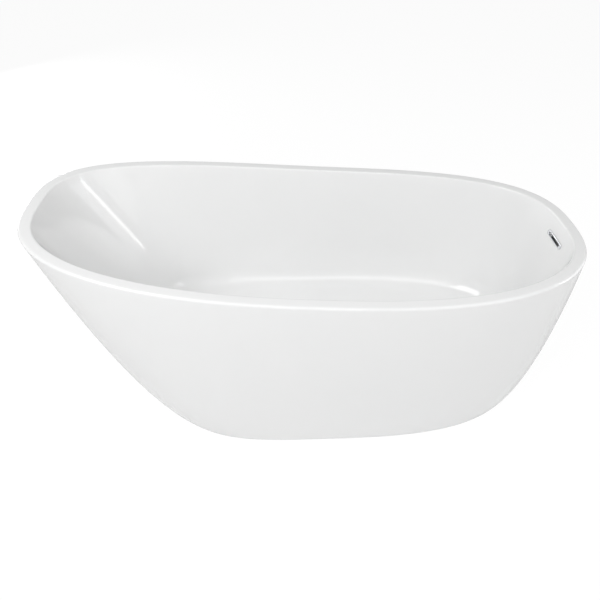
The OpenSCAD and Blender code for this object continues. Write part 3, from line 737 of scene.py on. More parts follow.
def hexagon(flats):
    def reach(a, r, z):
        edge = flats / 2 / np.cos((a + math.pi / 6) % (math.pi / 3) - math.pi / 6)
        return np.minimum(edge, r)
    return reach


def nut_rows(x, y, z0, z1, flats, bore):
    corner = flats / 2 / math.cos(math.pi / 6)
    trim = (corner - flats / 2) * 0.6
    outer = turned([(flats / 2 - 0.0003, z0), (corner, z0 + trim), (corner, z1 - trim),
                    (flats / 2 - 0.0003, z1)], x, y, 72, hexagon(flats))
    inner = turned([(bore + 0.0006, z1), (bore, z1 - 0.0006), (bore, z0 + 0.0006),
                    (bore + 0.0006, z0)], x, y, 72)
    return outer + inner


zinc, tree, shader = make_material("zinc_plate", metal=1.0)
mottled(tree, shader, bright, (0.60, 0.62, 0.62), 120.0, 0.6)
worn(tree, shader, 0.22, 0.4, 160.0)
weld_lo, weld_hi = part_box("weld_nuts")
lock_lo, lock_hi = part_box("foot_locknuts")
for name, lo, hi, node_name in (("hex_weld_nuts", weld_lo, weld_hi, "weld_nuts"),
                                ("hex_lock_nuts", lock_lo, lock_hi, "foot_locknuts")):
    nuts = joined(name, [closed_loft(nut_rows(x, y, lo[2], hi[2], 0.019, 0.006))
                         for x, y in foot_at.values()])
    nuts.data.set_sharp_from_angle(angle=math.radians(25))
    fit_piece(nuts, zinc, "tub", "zinc_steel", node_name)

screw_lo, screw_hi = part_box("frame_screws")
cross_x = [(lo[0] + hi[0]) / 2 for lo, hi in cross_boxes]
screw_lines = [share * rail_y for share in (-0.65, -0.35, 0.35, 0.65)]


def cross_socket(a, r, z):
    """A four-lobed driver recess."""
    lobe = 0.5 + 0.5 * np.cos(4 * a)
    return r * (0.45 + 0.55 * lobe ** 3)


screws = []
for x in cross_x:
    for y in screw_lines:
        head = turned([(0.0004, screw_lo[2] + 0.0016), (0.0010, screw_lo[2] + 0.0014),
                       (0.0022, screw_lo[2] + 0.0002)], x, y, 32, cross_socket)
        head += turned([(0.0028, screw_lo[2]), (0.0036, screw_lo[2] + 0.0004),
                        (0.0042, screw_lo[2] + 0.0013), (0.0043, screw_lo[2] + 0.0028),
                        (0.0040, screw_lo[2] + 0.003), (0.0020, screw_lo[2] + 0.003),
                        (0.0021, screw_hi[2] - 0.012), (0.0021, screw_hi[2] - 0.004),
                        (0.0004, screw_hi[2])], x, y, 32)
        screws.append(loft(head))
board_screws = joined("board_screws", screws)
board_screws.data.set_sharp_from_angle(angle=math.radians(35))
fit_piece(board_screws, zinc, "tub", "zinc_steel", "frame_screws")

tie_lo, tie_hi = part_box("skirt_ties")
tie_half, tie_thick = 0.015, 0.003
tie_x = (tie_lo[0] + tie_half, tie_hi[0] - tie_half)


def base_edge_y(x):
    """Half the width of the skirt's foot, x metres along the bath."""
    span, power = (base_head, base_curve[0]) if x < 0 else (base_foot, base_curve[1])
    return base_side * (1 - (abs(x) / span) ** power) ** (1 / power)


tie_reach = {}
for x in tie_x:
    near_edge = []
    for dx in (-tie_half, tie_half):
        near_edge.append(base_edge_y(x + dx))
    tie_reach[x] = min(near_edge) - 0.007
strips = []
for x in tie_x:
    for side in (-1, 1):
        wall_y, top_z, foot_z = rail_hi[1], rail_hi[2], tie_lo[2]
        bend = 0.005
        arc = [math.radians(90.0 * s / 6) for s in range(7)]
        inner = [(wall_y + tie_thick + bend * (1 - math.cos(a)),
                  foot_z + tie_thick + bend * (1 - math.sin(a))) for a in arc]
        outline = [(wall_y, top_z), (wall_y + tie_thick, top_z)]
        outline += inner
        outline += [(tie_reach[x], foot_z + tie_thick), (tie_reach[x], foot_z)]
        outline += [(wall_y + (bend - 0.002) * (1 - math.cos(a)),
                     foot_z + (bend - 0.002) * (1 - math.sin(a))) for a in reversed(arc)]
        ease = 0.0006
        outline = np.array(outline)
        mid = outline.mean(0)
        rows = []
        for across, pull in ((-tie_half, ease), (-tie_half + ease, 0.0),
                             (tie_half - ease, 0.0), (tie_half, ease)):
            section = outline.copy()
            if pull:
                away = unit(np.roll(outline, -1, 0) - np.roll(outline, 1, 0))
                section = outline + np.stack([-away[:, 1], away[:, 0]], -1) * -pull * 0.5
            rows.append(np.column_stack([np.full(len(section), x + across),
                                         side * section[:, 0], section[:, 1]]))
        strips.append(loft(rows if side > 0 else rows[::-1]))
straps = joined("tie_strips", strips)
straps.data.set_sharp_from_angle(angle=math.radians(30))
fit_piece(straps, galvanised, "tub", "frame_steel", "skirt_ties")

tie_screw_z = (rail_lo[2] + rail_hi[2]) / 2
side_screws = []
for x in tie_x:
    for side in (-1, 1):
        rows = turned([(0.0004, -0.0016), (0.0012, -0.0014), (0.0026, -0.0001)], 0, 0, 32,
                      cross_socket)
        rows += turned([(0.0032, 0.0), (0.0045, 0.0), (0.0046, -0.0003), (0.0036, -0.003),
                        (0.0025, -0.003), (0.0025, -0.012), (0.0008, -0.014)], 0, 0, 32)
        face_y = rail_hi[1] + tie_thick + 0.003
        laid = [np.column_stack([x + r[:, 0], side * (face_y + r[:, 2]),
                                 tie_screw_z + side * r[:, 1]]) for r in rows]
        side_screws.append(loft(laid[::-1]))
countersunk = joined("tie_strip_screws", side_screws)
countersunk.data.set_sharp_from_angle(angle=math.radians(35))
fit_piece(countersunk, zinc, "tub", "zinc_steel", "tie_screws")

bond_lo, bond_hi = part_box("tie_bonds")
dabs = []
for x in tie_x:
    for side in (-1, 1):
        y = side * (base_edge_y(x) - 0.018)
        wobble = rough.normal(0, 0.00025, 48)
        a = np.radians(7.5 * np.arange(48))
        rows = []
        for z, grow in ((bond_lo[2], 0.0), (bond_lo[2] + 0.0004, 0.0008),
                        (bond_hi[2] - 0.0004, 0.0008), (bond_hi[2], 0.0)):
            k = (np.abs(np.cos(a)) ** 4 + np.abs(np.sin(a)) ** 4) ** -0.25
            rows.append(np.column_stack([
                x + (0.0115 + grow + wobble) * k * np.cos(a),
                y + (0.0055 + grow + wobble) * k * np.sin(a), np.full(48, z)]))
        dabs.append(loft(rows))
adhesive, tree, shader = make_material("cured_adhesive")
mottled(tree, shader, (0.060, 0.061, 0.064), (0.085, 0.085, 0.090), 90.0, 0.7)
worn(tree, shader, 0.35, 0.6, 70.0)
fit_piece(joined("adhesive_dabs", dabs), adhesive, "tub", "bond", "tie_bonds")

# ---------------------------------------------------------------------------
# Levelling feet. A zinc-plated stud with a real helical thread and a hexagon
# collar turns in each weld nut; it spins in a ribbed plastic pad that stands
# on a grooved rubber sole.
rubber, tree, shader = make_material("black_rubber")
mottled(tree, shader, (0.020, 0.020, 0.020), (0.036, 0.035, 0.034), 60.0, 0.8)
grain = worn(tree, shader, 0.6, 0.8, 200.0)
raised_by(tree, shader, grain.outputs["Fac"], 0.0002, 0.5)


def threaded(x, y, r, z0, z1, lead):
    steps, rows_per_turn = 24, 6
    a = np.radians(360.0 * np.arange(steps) / steps)
    count = int(math.ceil((z1 - z0) / lead * rows_per_turn))
    rows = []
    for k in range(count + 1):
        z = z0 + (z1 - z0) * k / count
        phase = (z / lead - a / (2 * math.pi)) % 1.0
        fade = min(1.0, (z - z0) / lead, (z1 - z) / lead)
        ring = r - 0.30 * lead * (2 * np.abs(phase - 0.5)) - 0.0003 * (1 - fade)
        rows.append(np.column_stack([x + ring * np.cos(a), y + ring * np.sin(a),
                                     np.full(steps, z)]))
    return rows


stud_lo, stud_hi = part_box("foot_1_stud")
pad_lo, pad_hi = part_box("foot_1_pad")
sole_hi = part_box("foot_1_sole")[1]
stud_r, collar_h = 0.00595, 0.008
for k, (x, y) in foot_at.items():
    neck = turned([(0.0042, stud_lo[2]), (stud_r - 0.001, stud_lo[2] + 0.0007),
                   (stud_r - 0.001, pad_hi[2])], x, y, 24)
    flats = 0.017
    corner = flats / 2 / math.cos(math.pi / 6)
    collar = turned([(flats / 2 - 0.0003, pad_hi[2]), (corner, pad_hi[2] + 0.0008),
                     (corner, pad_hi[2] + collar_h - 0.0008),
                     (flats / 2 - 0.0003, pad_hi[2] + collar_h)], x, y, 24, hexagon(flats))
    thread = threaded(x, y, stud_r, pad_hi[2] + collar_h, stud_hi[2] - 0.001, pitch)
    point = turned([(stud_r - 0.0012, stud_hi[2])], x, y, 24)
    stud = joined(f"foot_{k}_thread", [loft(neck + collar + thread + point)])
    stud.data.set_sharp_from_angle(angle=math.radians(28))
    fit_piece(stud, zinc, f"foot_{k}_screw", "zinc_steel", f"foot_{k}_stud")
    rim = (pad_hi[0] - pad_lo[0]) / 2

    def ribbed(a, r, z):
        """Ribs stand out between the hub and the rim."""
        bulge = 0.0016 if 0.0125 < r < rim - 0.002 else 0.0
        return r + bulge * np.clip(4 * np.cos(8 * a) - 2.6, 0, 1)

    z0 = pad_lo[2]
    pad = joined(f"foot_{k}_base_pad", [loft(turned(
        [(0.004, z0 + 0.0005), (rim - 0.0008, z0), (rim, z0 + 0.0008), (rim, z0 + 0.0032),
         (rim - 0.0008, z0 + 0.004), (rim - 0.003, z0 + 0.0044), (0.019, z0 + 0.0056),
         (0.0155, z0 + 0.0074), (0.0130, z0 + 0.0088), (0.0120, z0 + 0.0096),
         (0.0118, pad_hi[2] - 0.0004), (0.0114, pad_hi[2]), (stud_r - 0.0007, pad_hi[2]),
         (stud_r - 0.0007, z0 + 0.0042), (0.001, z0 + 0.004)], x, y, 96, ribbed))])
    pad.data.set_sharp_from_angle(angle=math.radians(40))
    fit_piece(pad, black_moulding, f"foot_{k}_base", "black_plastic", f"foot_{k}_pad")
    grooves = [(rim - 0.0006, sole_hi[2]), (rim, sole_hi[2] - 0.0006), (rim, 0.0008),
               (rim - 0.0008, 0.0)]
    for r in (0.021, 0.017, 0.013, 0.009):
        grooves += [(r, 0.0), (r - 0.0004, 0.0009), (r - 0.0012, 0.0009), (r - 0.0016, 0.0)]
    sole = joined(f"foot_{k}_grooved_sole", [loft(turned(grooves, x, y, 64)[::-1])])
    sole.data.set_sharp_from_angle(angle=math.radians(40))
    fit_piece(sole, rubber, f"foot_{k}_base", "rubber", f"foot_{k}_sole")

# ---------------------------------------------------------------------------
# Waste. Chromed brass flange with a threaded barrel and a three-armed spider,
# soft seal above the floor sheet and rubber gasket below it, a moulded shoe
# with a side inlet, and a chromed tailpiece held by a ribbed slip nut.
inlet_z = floor_z - 0.072


def placed(rows, origin, u, v, w):
    """Rings drawn about a vertical axis, laid along w with u and v across."""
    u, v, w, origin = (np.array(x, float) for x in (u, v, w, origin))
    return [origin + r[:, :1] * u + r[:, 1:2] * v + r[:, 2:3] * w for r in rows]


def outward_faces(piece, degrees=35):
    """Faces of closed parts turned outward, hard edges marked."""
    solid = bmesh.new()
    solid.from_mesh(piece.data)
    bmesh.ops.recalc_face_normals(solid, faces=solid.faces)
    solid.to_mesh(piece.data)
    solid.free()
    piece.data.set_sharp_from_angle(angle=math.radians(degrees))
    return piece


def helix(lead, depth, r_min, z0, z1):
    def reach(a, r, z):
        inside_run = z0 < z < z1 and r > r_min
        wave = 2 * np.abs((z / lead - a / (2 * math.pi)) % 1.0 - 0.5)
        return r - depth * wave * inside_run
    return reach


def straight_run(r, z0, z1, step):
    n = max(1, int(abs(z1 - z0) / step))
    return [(r, z0 + (z1 - z0) * k / n) for k in range(n + 1)]


chrome, tree, shader = make_material("polished_chrome", metal=1.0)
mottled(tree, shader, (0.80, 0.81, 0.83), (0.74, 0.75, 0.78), 30.0, 0.5)
worn(tree, shader, 0.05, 0.11, 80.0)
fz = floor_z
barrel = closed_loft(turned(
    [(0.0200, fz - 0.0500), (0.0226, fz - 0.0500)]
    + straight_run(0.0230, fz - 0.0495, fz - 0.0075, 0.0004)
    + [(0.0230, fz - 0.0030), (0.0240, fz - 0.0020), (0.0358, fz - 0.0020),
       (0.0360, fz - 0.0018), (0.0360, fz - 0.0006), (0.0352, fz + 0.0000),
       (0.0336, fz + 0.0004), (0.0325, fz + 0.0005), (0.0270, fz + 0.0004),
       (0.0258, fz - 0.0001), (0.0255, fz - 0.0010), (0.0206, fz - 0.0010),
       (0.0200, fz - 0.0016)], waste_x, 0, 96, helix(0.0018, 0.0007, 0.0228, fz - 0.0488,
                                                     fz - 0.0080)))
hub = closed_loft(turned([(0.0050, fz - 0.050), (0.0086, fz - 0.050), (0.0090, fz - 0.0496),
                          (0.0090, fz - 0.0404), (0.0086, fz - 0.040), (0.0050, fz - 0.040)],
                         waste_x, 0, 48))
arms = []
for turn in (0, 120, 240):
    a = math.radians(turn)
    section = rounded_square(0.002, 0.0008)
    section[:, 1] *= 1.75
    rows = [np.column_stack([np.full(len(section), r), section[:, 0],
                             fz - 0.0455 + section[:, 1]]) for r in (0.0085, 0.013, 0.0204)]
    arms.append(loft([np.column_stack([waste_x + p[:, 0] * math.cos(a) - p[:, 1] * math.sin(a),
                                       p[:, 0] * math.sin(a) + p[:, 1] * math.cos(a), p[:, 2]])
                      for p in rows]))
flange = outward_faces(joined("waste_flange", [barrel, hub] + arms))
fit_piece(flange, chrome, "tub", "chrome", "drain_flange")

soft, tree, shader = make_material("soft_seal")
mottled(tree, shader, (0.72, 0.72, 0.69), (0.62, 0.62, 0.58), 50.0, 0.6)
worn(tree, shader, 0.45, 0.65, 80.0)


def ring_piece(name, r0, r1, z0, z1, ease):
    return outward_faces(joined(name, [closed_loft(turned(
        [(r0 + ease, z0), (r1 - ease, z0), (r1, z0 + ease), (r1, z1 - ease), (r1 - ease, z1),
         (r0 + ease, z1), (r0, z1 - ease), (r0, z0 + ease)], waste_x, 0, 96))]))


fit_piece(ring_piece("flange_soft_seal", 0.024, 0.036, fz - 0.003, fz - 0.002, 0.0003),
          soft, "tub", "soft_seal", "flange_seal")
fit_piece(ring_piece("waste_gasket", 0.026, 0.040, fz - 0.010, fz - 0.007, 0.0008),
          rubber, "tub", "rubber", "drain_gasket")

white_moulding, tree, shader = make_material("white_moulding")
mottled(tree, shader, (0.78, 0.78, 0.76), (0.72, 0.72, 0.69), 40.0, 0.6)
grain = worn(tree, shader, 0.35, 0.5, 100.0)
raised_by(tree, shader, grain.outputs["Fac"], 0.0001, 0.3)


def shoe_outside(a, r, z):
    if 0.0275 < r < 0.029 and fz - 0.093 < z < fz - 0.019:
        return r + 0.0012 * np.clip(4 * np.cos(8 * a) - 2.9, 0, 1)
    return helix(0.0025, 0.0008, 0.0236, fz - 0.1130, fz - 0.0960)(a, r, z)


shoe = closed_loft(turned(
    [(0.0192, fz - 0.114), (0.0236, fz - 0.114)] + straight_run(0.024, fz - 0.1136, fz - 0.0955, 0.0006)
    + [(0.0272, fz - 0.0950), (0.0280, fz - 0.0940)] + straight_run(0.0280, fz - 0.092, fz - 0.020, 0.006)
    + [(0.0290, fz - 0.0174), (0.0394, fz - 0.0170), (0.0400, fz - 0.0164),
       (0.0400, fz - 0.0106), (0.0394, fz - 0.0100), (0.0236, fz - 0.0100),
       (0.0231, fz - 0.0105), (0.0231, fz - 0.0495), (0.0250, fz - 0.0500),
       (0.0250, fz - 0.0905), (0.0170, fz - 0.0910), (0.0170, fz - 0.0955),
       (0.0192, fz - 0.0960)], waste_x, 0, 96, shoe_outside))


def barbed(r, z0, z1, barbs):
    """A hose tail: shallow saw-tooth rings over a tube."""
    deep, pts = 0.0006, []
    for k in range(barbs):
        a = z0 + (z1 - z0) * k / barbs
        b = z0 + (z1 - z0) * (k + 1) / barbs
        pts += [(r, a + 0.0004), (r - deep, b - 0.0004)]
    return pts


inlet_tube = closed_loft(placed(turned(
    [(0.0105, 0.020), (0.0135, 0.020), (0.0135, 0.034)]
    + barbed(0.01295, 0.036, 0.061, 4) + [(0.0120, 0.062), (0.0105, 0.062)], 0, 0, 64),
    (waste_x, 0, inlet_z), (0, 0, -1), (0, 1, 0), (1, 0, 0)))
fit_piece(outward_faces(joined("waste_shoe", [shoe, inlet_tube])), white_moulding, "tub",
          "white_plastic", "drain_shoe")

tail_lo, tail_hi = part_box("tailpiece")
tail_r = (tail_hi[0] - tail_lo[0]) / 2
tail = closed_loft(turned(
    [(tail_r - 0.0013, tail_lo[2]), (tail_r - 0.0004, tail_lo[2]), (tail_r, tail_lo[2] + 0.0005),
     (tail_r, fz - 0.1245), (tail_r - 0.0003, fz - 0.1238), (tail_r - 0.0003, tail_hi[2] - 0.0004),
     (tail_r - 0.0006, tail_hi[2]), (tail_r - 0.0015, tail_hi[2]),
     (tail_r - 0.0015, tail_lo[2] + 0.0003)], waste_x, 0, 96))
fit_piece(outward_faces(joined("waste_tailpiece", [tail])), chrome, "tub", "chrome", "tailpiece")
fit_piece(ring_piece("slip_washer", tail_r - 0.0002, 0.024, fz - 0.118, fz - 0.114, 0.0006),
          soft, "tub", "soft_seal", "tailpiece_washer")


def nut_outside(a, r, z):
    if r > 0.0288 and fz - 0.1212 < z < fz - 0.1028:
        return r + 0.0024 * np.clip(4 * np.cos(8 * a) - 2.2, 0, 1)
    return np.full(len(a), r)


slip_nut = closed_loft(turned(
    [(tail_r + 0.0005, fz - 0.122), (0.0284, fz - 0.122), (0.0290, fz - 0.1214),
     (0.0290, fz - 0.1208), (0.0290, fz - 0.1032), (0.0290, fz - 0.1026), (0.0284, fz - 0.102),
     (0.0246, fz - 0.102), (0.0241, fz - 0.1025), (0.0241, fz - 0.118),
     (tail_r + 0.0005, fz - 0.118)], waste_x, 0, 96, nut_outside))
fit_piece(outward_faces(joined("waste_slip_nut", [slip_nut])), white_moulding, "tub",
          "white_plastic", "tailpiece_nut")

# ---------------------------------------------------------------------------
# Push stopper, standing open. A domed chromed cap over a rubber seal rides on
# a brass plunger in a threaded brass cartridge, with a coil spring inside.
cap_lo, cap_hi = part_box("stopper_cap")
cap_r, cap_z = (cap_hi[0] - cap_lo[0]) / 2, cap_lo[2]
dome = [(cap_r * math.cos(math.radians(d)) ** 0.8,
         cap_z + 0.0014 + 0.0045 * math.sin(math.radians(d))) for d in range(10, 90, 8)]
cap = loft(turned([(0.00305, cap_z + 0.0030), (0.00305, cap_z), (cap_r - 0.0010, cap_z),
                   (cap_r - 0.0002, cap_z + 0.0004), (cap_r, cap_z + 0.0012)] + dome
                  + [(0.0008, cap_z + 0.0059)], waste_x, 0, 128))
fit_piece(outward_faces(joined("stopper_dome", [cap]), 50), chrome, "stopper", "chrome",
          "stopper_cap")
fit_piece(ring_piece("stopper_ring", 0.016, 0.024, cap_z - 0.002, cap_z, 0.0005), rubber,
          "stopper", "rubber", "stopper_seal")
brass, tree, shader = make_material("turned_brass", metal=1.0)
mottled(tree, shader, (0.72, 0.53, 0.25), (0.60, 0.42, 0.18), 70.0, 0.6)
worn(tree, shader, 0.18, 0.34, 120.0)
rod_lo, rod_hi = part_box("cartridge_plunger")
rod_r, groove = (rod_hi[0] - rod_lo[0]) / 2, rod_lo[2] + 0.004
rod = loft(turned([(0.001, rod_lo[2]), (rod_r - 0.0005, rod_lo[2]), (rod_r, rod_lo[2] + 0.0005),
                   (rod_r, groove), (rod_r - 0.0010, groove + 0.0001),
                   (rod_r - 0.0010, groove + 0.0019), (rod_r, groove + 0.002),
                   (rod_r, cap_z - 0.0005), (rod_r - 0.0005, cap_z), (0.0030, cap_z),
                   (0.0030, rod_hi[2]), (0.0005, rod_hi[2])], waste_x, 0, 64))
fit_piece(outward_faces(joined("stopper_plunger", [rod])), brass, "stopper", "brass",
          "cartridge_plunger")


def sleeve_outside(a, r, z):
    if r > 0.0088 and fz - 0.034 < z < fz - 0.010:
        return r - 0.00025 * (1 + np.cos(36 * a))
    return helix(0.0013, 0.0005, 0.0048, fz - 0.0495, fz - 0.0405)(a, r, z) \
        if r < 0.0055 else np.full(len(a), r)


sleeve = loft(turned(
    [(0.0006, fz - 0.050), (0.0044, fz - 0.050)] + straight_run(0.00495, fz - 0.0495, fz - 0.0402, 0.0003)
    + [(0.0086, fz - 0.040), (0.0090, fz - 0.0396), (0.0090, fz - 0.0345), (0.0090, fz - 0.0335),
       (0.0090, fz - 0.0105), (0.0090, fz - 0.0095), (0.0090, fz - 0.0044), (0.0086, fz - 0.004),
       (0.0064, fz - 0.004), (0.0061, fz - 0.0043), (0.0061, fz - 0.036), (0.0006, fz - 0.036)],
    waste_x, 0, 144, sleeve_outside))
fit_piece(outward_faces(joined("stopper_cartridge", [sleeve])), brass, "tub", "brass",
          "cartridge_body")

spring_lo, spring_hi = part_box("cartridge_spring")
wire, coil_r, coils = 0.0008, 0.0046, 6
coil_rows = []
for k in range(coils * 28 + 1):
    a = 2 * math.pi * k / 28
    z = spring_lo[2] + wire + (spring_hi[2] - spring_lo[2] - 2 * wire) * k / (coils * 28)
    b = np.radians(30.0 * np.arange(12))
    r = coil_r + wire * np.cos(b)
    coil_rows.append(np.column_stack([waste_x + r * math.cos(a), r * math.sin(a),
                                      z + wire * np.sin(b)]))
coil = outward_faces(joined("stopper_spring", [loft(coil_rows)]), 60)
spring_wire, tree, shader = make_material("spring_wire", metal=1.0)
mottled(tree, shader, (0.56, 0.56, 0.57), (0.46, 0.46, 0.48), 200.0, 0.6)
worn(tree, shader, 0.2, 0.32, 200.0)
fit_piece(coil, spring_wire, "tub", "spring_steel", "cartridge_spring")
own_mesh(coil)

# ---------------------------------------------------------------------------
# Overflow. A chromed bezel with a long slot stands just off the sloped wall at
# the lower end; behind the wall a rubber gasket and a moulded box, drawn
# together by two screws, lead the water down into the hose.
slot_mid = wall(t[:1], (slot_top + slot_bottom) / 2)[0]
upper, lower = wall(t[:1], 0)[0], wall(t[:1], 1)[0]
lean = math.atan2(upper[0] - lower[0], upper[2] - lower[2])
into_wall = (math.cos(lean), 0, -math.sin(lean))
up_wall = (math.sin(lean), 0, math.cos(lean))
block_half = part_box("overflow_trim")[1][1] - 0.0095
post_y = block_half - 0.0065
wall_thick = sheet + backing
box_front = wall_thick + 0.0025


def slot_ring(depth, half_y, half_z, corner):
    """A round-cornered ring square to the wall, that far behind its face."""
    steps, pts = 14, []
    for k, (sy, sz) in enumerate(((1, 1), (-1, 1), (-1, -1), (1, -1))):
        for s in range(steps + 1):
            a = math.radians(90 * k + 90.0 * s / steps)
            pts.append((depth, sy * (half_y - corner) + corner * math.cos(a),
                        sz * (half_z - corner) + corner * math.sin(a)))
    pts = np.array(pts)
    return (slot_mid + pts[:, :1] * np.array(into_wall) + pts[:, 1:2] * np.array([0, 1.0, 0])
            + pts[:, 2:3] * np.array(up_wall))


ledge_y, throat_y, bezel_y = post_y + 0.0036, post_y - 0.006, block_half + 0.0095
bezel = closed_loft([
    slot_ring(-0.0047, ledge_y + 0.0005, 0.0050, 0.0050),
    slot_ring(-0.0042, ledge_y, 0.0045, 0.0045), slot_ring(0.0048, ledge_y, 0.0045, 0.0044),
    slot_ring(0.0048, throat_y, 0.0045, 0.0010), slot_ring(0.0093, throat_y, 0.0045, 0.0010),
    slot_ring(0.0093, block_half, 0.0060, 0.0008), slot_ring(-0.0022, block_half, 0.0060, 0.0008),
    slot_ring(-0.0022, bezel_y - 0.0004, 0.0086, 0.0086), slot_ring(-0.0025, bezel_y, 0.0090, 0.0090),
    slot_ring(-0.0038, bezel_y, 0.0090, 0.0090), slot_ring(-0.0044, bezel_y - 0.0003, 0.0087, 0.0087),
    slot_ring(-0.0047, bezel_y - 0.0009, 0.0081, 0.0081)])
fit_piece(outward_faces(joined("overflow_bezel", [bezel]), 30), chrome, "tub", "chrome",
          "overflow_trim")
gasket = closed_loft([
    slot_ring(wall_thick, block_half + 0.0022, 0.0077, 0.001),
    slot_ring(wall_thick, block_half + 0.0130, 0.0155, 0.0155),
    slot_ring(wall_thick + 0.0006, block_half + 0.0135, 0.0160, 0.0160),
    slot_ring(wall_thick + 0.0019, block_half + 0.0135, 0.0160, 0.0160),
    slot_ring(box_front, block_half + 0.0130, 0.0155, 0.0155),
    slot_ring(box_front, block_half + 0.0022, 0.0077, 0.001)])
fit_piece(outward_faces(joined("overflow_seal", [gasket])), rubber, "tub", "rubber",
          "overflow_gasket")

box_back = box_front + 0.0235
chest = loft([
    slot_ring(box_back - 0.0030, block_half + 0.0045, 0.0120, 0.0020),
    slot_ring(box_front + 0.0024, block_half + 0.0045, 0.0120, 0.0020),
    slot_ring(box_front + 0.0024, block_half + 0.0005, 0.0065, 0.0010),
    slot_ring(box_front, block_half + 0.0005, 0.0065, 0.0010),
    slot_ring(box_front, block_half + 0.0135, 0.0160, 0.0160),
    slot_ring(box_front + 0.0025, block_half + 0.0135, 0.0160, 0.0160),
    slot_ring(box_front + 0.0027, block_half + 0.0075, 0.0150, 0.0030),
    slot_ring(box_back - 0.0008, block_half + 0.0075, 0.0150, 0.0030),
    slot_ring(box_back, block_half + 0.0067, 0.0142, 0.0024)])
down = (-up_wall[0], 0, -up_wall[2])


def boot_outside(a, r, z):
    if r < 0.0139:
        return np.full(len(a), r)
    shape = np.minimum(0.014 / np.maximum(np.abs(np.cos(a)), 1e-6),
                       0.019 / np.maximum(np.abs(np.sin(a)), 1e-6))
    return np.minimum(shape, 0.0215) - (0.020 - r)


boot_centre = slot_mid + 0.024 * np.array(into_wall)
boot = loft(placed(turned(
    [(0.019, 0.0142), (0.020, 0.0150), (0.020, 0.0490), (0.0192, 0.0500), (0.0132, 0.0500)]
    + barbed(0.01295, 0.0515, 0.0775, 4) + [(0.0120, 0.078), (0.0105, 0.078), (0.0105, 0.050)],
    0, 0, 96, boot_outside), boot_centre, into_wall, (0, -1, 0), down))
ribs = []
for y in (-0.030, -0.015, 0.0, 0.015, 0.030):
    section = rounded_square(0.0009, 0.0004)
    rows = []
    for up_z in (-0.0128, 0.0128):
        centre = slot_mid + (box_back + 0.0004) * np.array(into_wall) + up_z * np.array(up_wall)
        rows.append(centre + section[:, :1] * np.array(into_wall)
                    + section[:, 1:2] * np.array([0, 1.0, 0]) + np.array([0, y, 0]))
    ribs.append(loft(rows))
fit_piece(outward_faces(joined("overflow_chest", [chest, boot] + ribs)), white_moulding, "tub",
          "white_plastic", "overflow_box")
pins = []
for side in (-1, 1):
    shape = turned([(0.0003, 0.0012), (0.0009, 0.0011), (0.0020, 0.0002)], 0, 0, 32, cross_socket)
    shape += turned([(0.0026, 0.0), (0.0032, 0.0003), (0.0034, 0.0009), (0.0034, 0.0018),
                     (0.0017, 0.0018), (0.0017, box_front + 0.0008), (0.0004, box_front + 0.0036)],
                    0, 0, 32)
    pins.append(loft(placed(shape, slot_mid + 0.003 * np.array(into_wall)
                            + np.array([0, side * post_y, 0]), up_wall, (0, 1, 0), into_wall)))
fit_piece(outward_faces(joined("overflow_pins", pins)), zinc, "tub", "zinc_steel",
          "overflow_screws")

# ---------------------------------------------------------------------------
# Overflow hose and its clamps. A corrugated grey tube with plain cuffs runs
# down the end of the bath, bends once and meets the shoe's side inlet. A
# worm-drive band grips each cuff.
hose_r, hose_bore, bend_r = 0.0155, 0.013, 0.100
hose_top = boot_centre - 0.050 * np.array(up_wall)
arc_z = inlet_z + bend_r * (1 - math.sin(lean))
arc_x = hose_top[0] - (hose_top[2] - arc_z) * math.tan(lean)
bend_x = arc_x - bend_r * math.cos(lean)
hose_end = waste_x + 0.032
drop_len = (hose_top[2] - arc_z) / math.cos(lean)
arc_len = bend_r * (math.pi / 2 - lean)
hose_len = drop_len + arc_len + bend_x - hose_end


def hose_frame(s):
    """Centre and downward angle of the hose, s metres from its top."""
    if s < drop_len:
        return hose_top[0] - s * math.sin(lean), hose_top[2] - s * math.cos(lean), lean
    if s < drop_len + arc_len:
        a = lean + (s - drop_len) / bend_r
        return bend_x + bend_r * math.cos(a), inlet_z + bend_r * (1 - math.sin(a)), a
    return bend_x - (s - drop_len - arc_len), inlet_z, math.pi / 2


def hose_ring(s, radius):
    x, z, a = hose_frame(s)
    b = np.radians(10.0 * np.arange(36))
    d = radius * np.sin(b)
    return np.column_stack([x + d * math.cos(a), radius * np.cos(b), z - d * math.sin(a)])


cuff, wave_len = 0.034, 0.0045
rings = []
s = 0.0
while s < hose_len:
    ripple_in = 0.0
    if cuff < s < hose_len - cuff:
        ripple_in = 0.0011 * (0.5 - 0.5 * math.cos(2 * math.pi * (s - cuff) / wave_len)) ** 0.7
    rings.append(hose_ring(s, hose_r - ripple_in))
    s += 0.00075 if cuff <= s < hose_len - cuff else 0.004
rings.append(hose_ring(hose_len, hose_r))
bore_rings = [hose_ring(hose_len * (1 - k / 60), hose_bore) for k in range(61)]
tube = outward_faces(joined("overflow_corrugated_hose", [closed_loft(rings + bore_rings)]), 50)
grey_plastic, tree, shader = make_material("grey_hose")
mottled(tree, shader, (0.36, 0.37, 0.39), (0.30, 0.31, 0.33), 40.0, 0.6)
worn(tree, shader, 0.35, 0.5, 120.0)
fit_piece(tube, grey_plastic, "tub", "grey_hose", "overflow_hose")

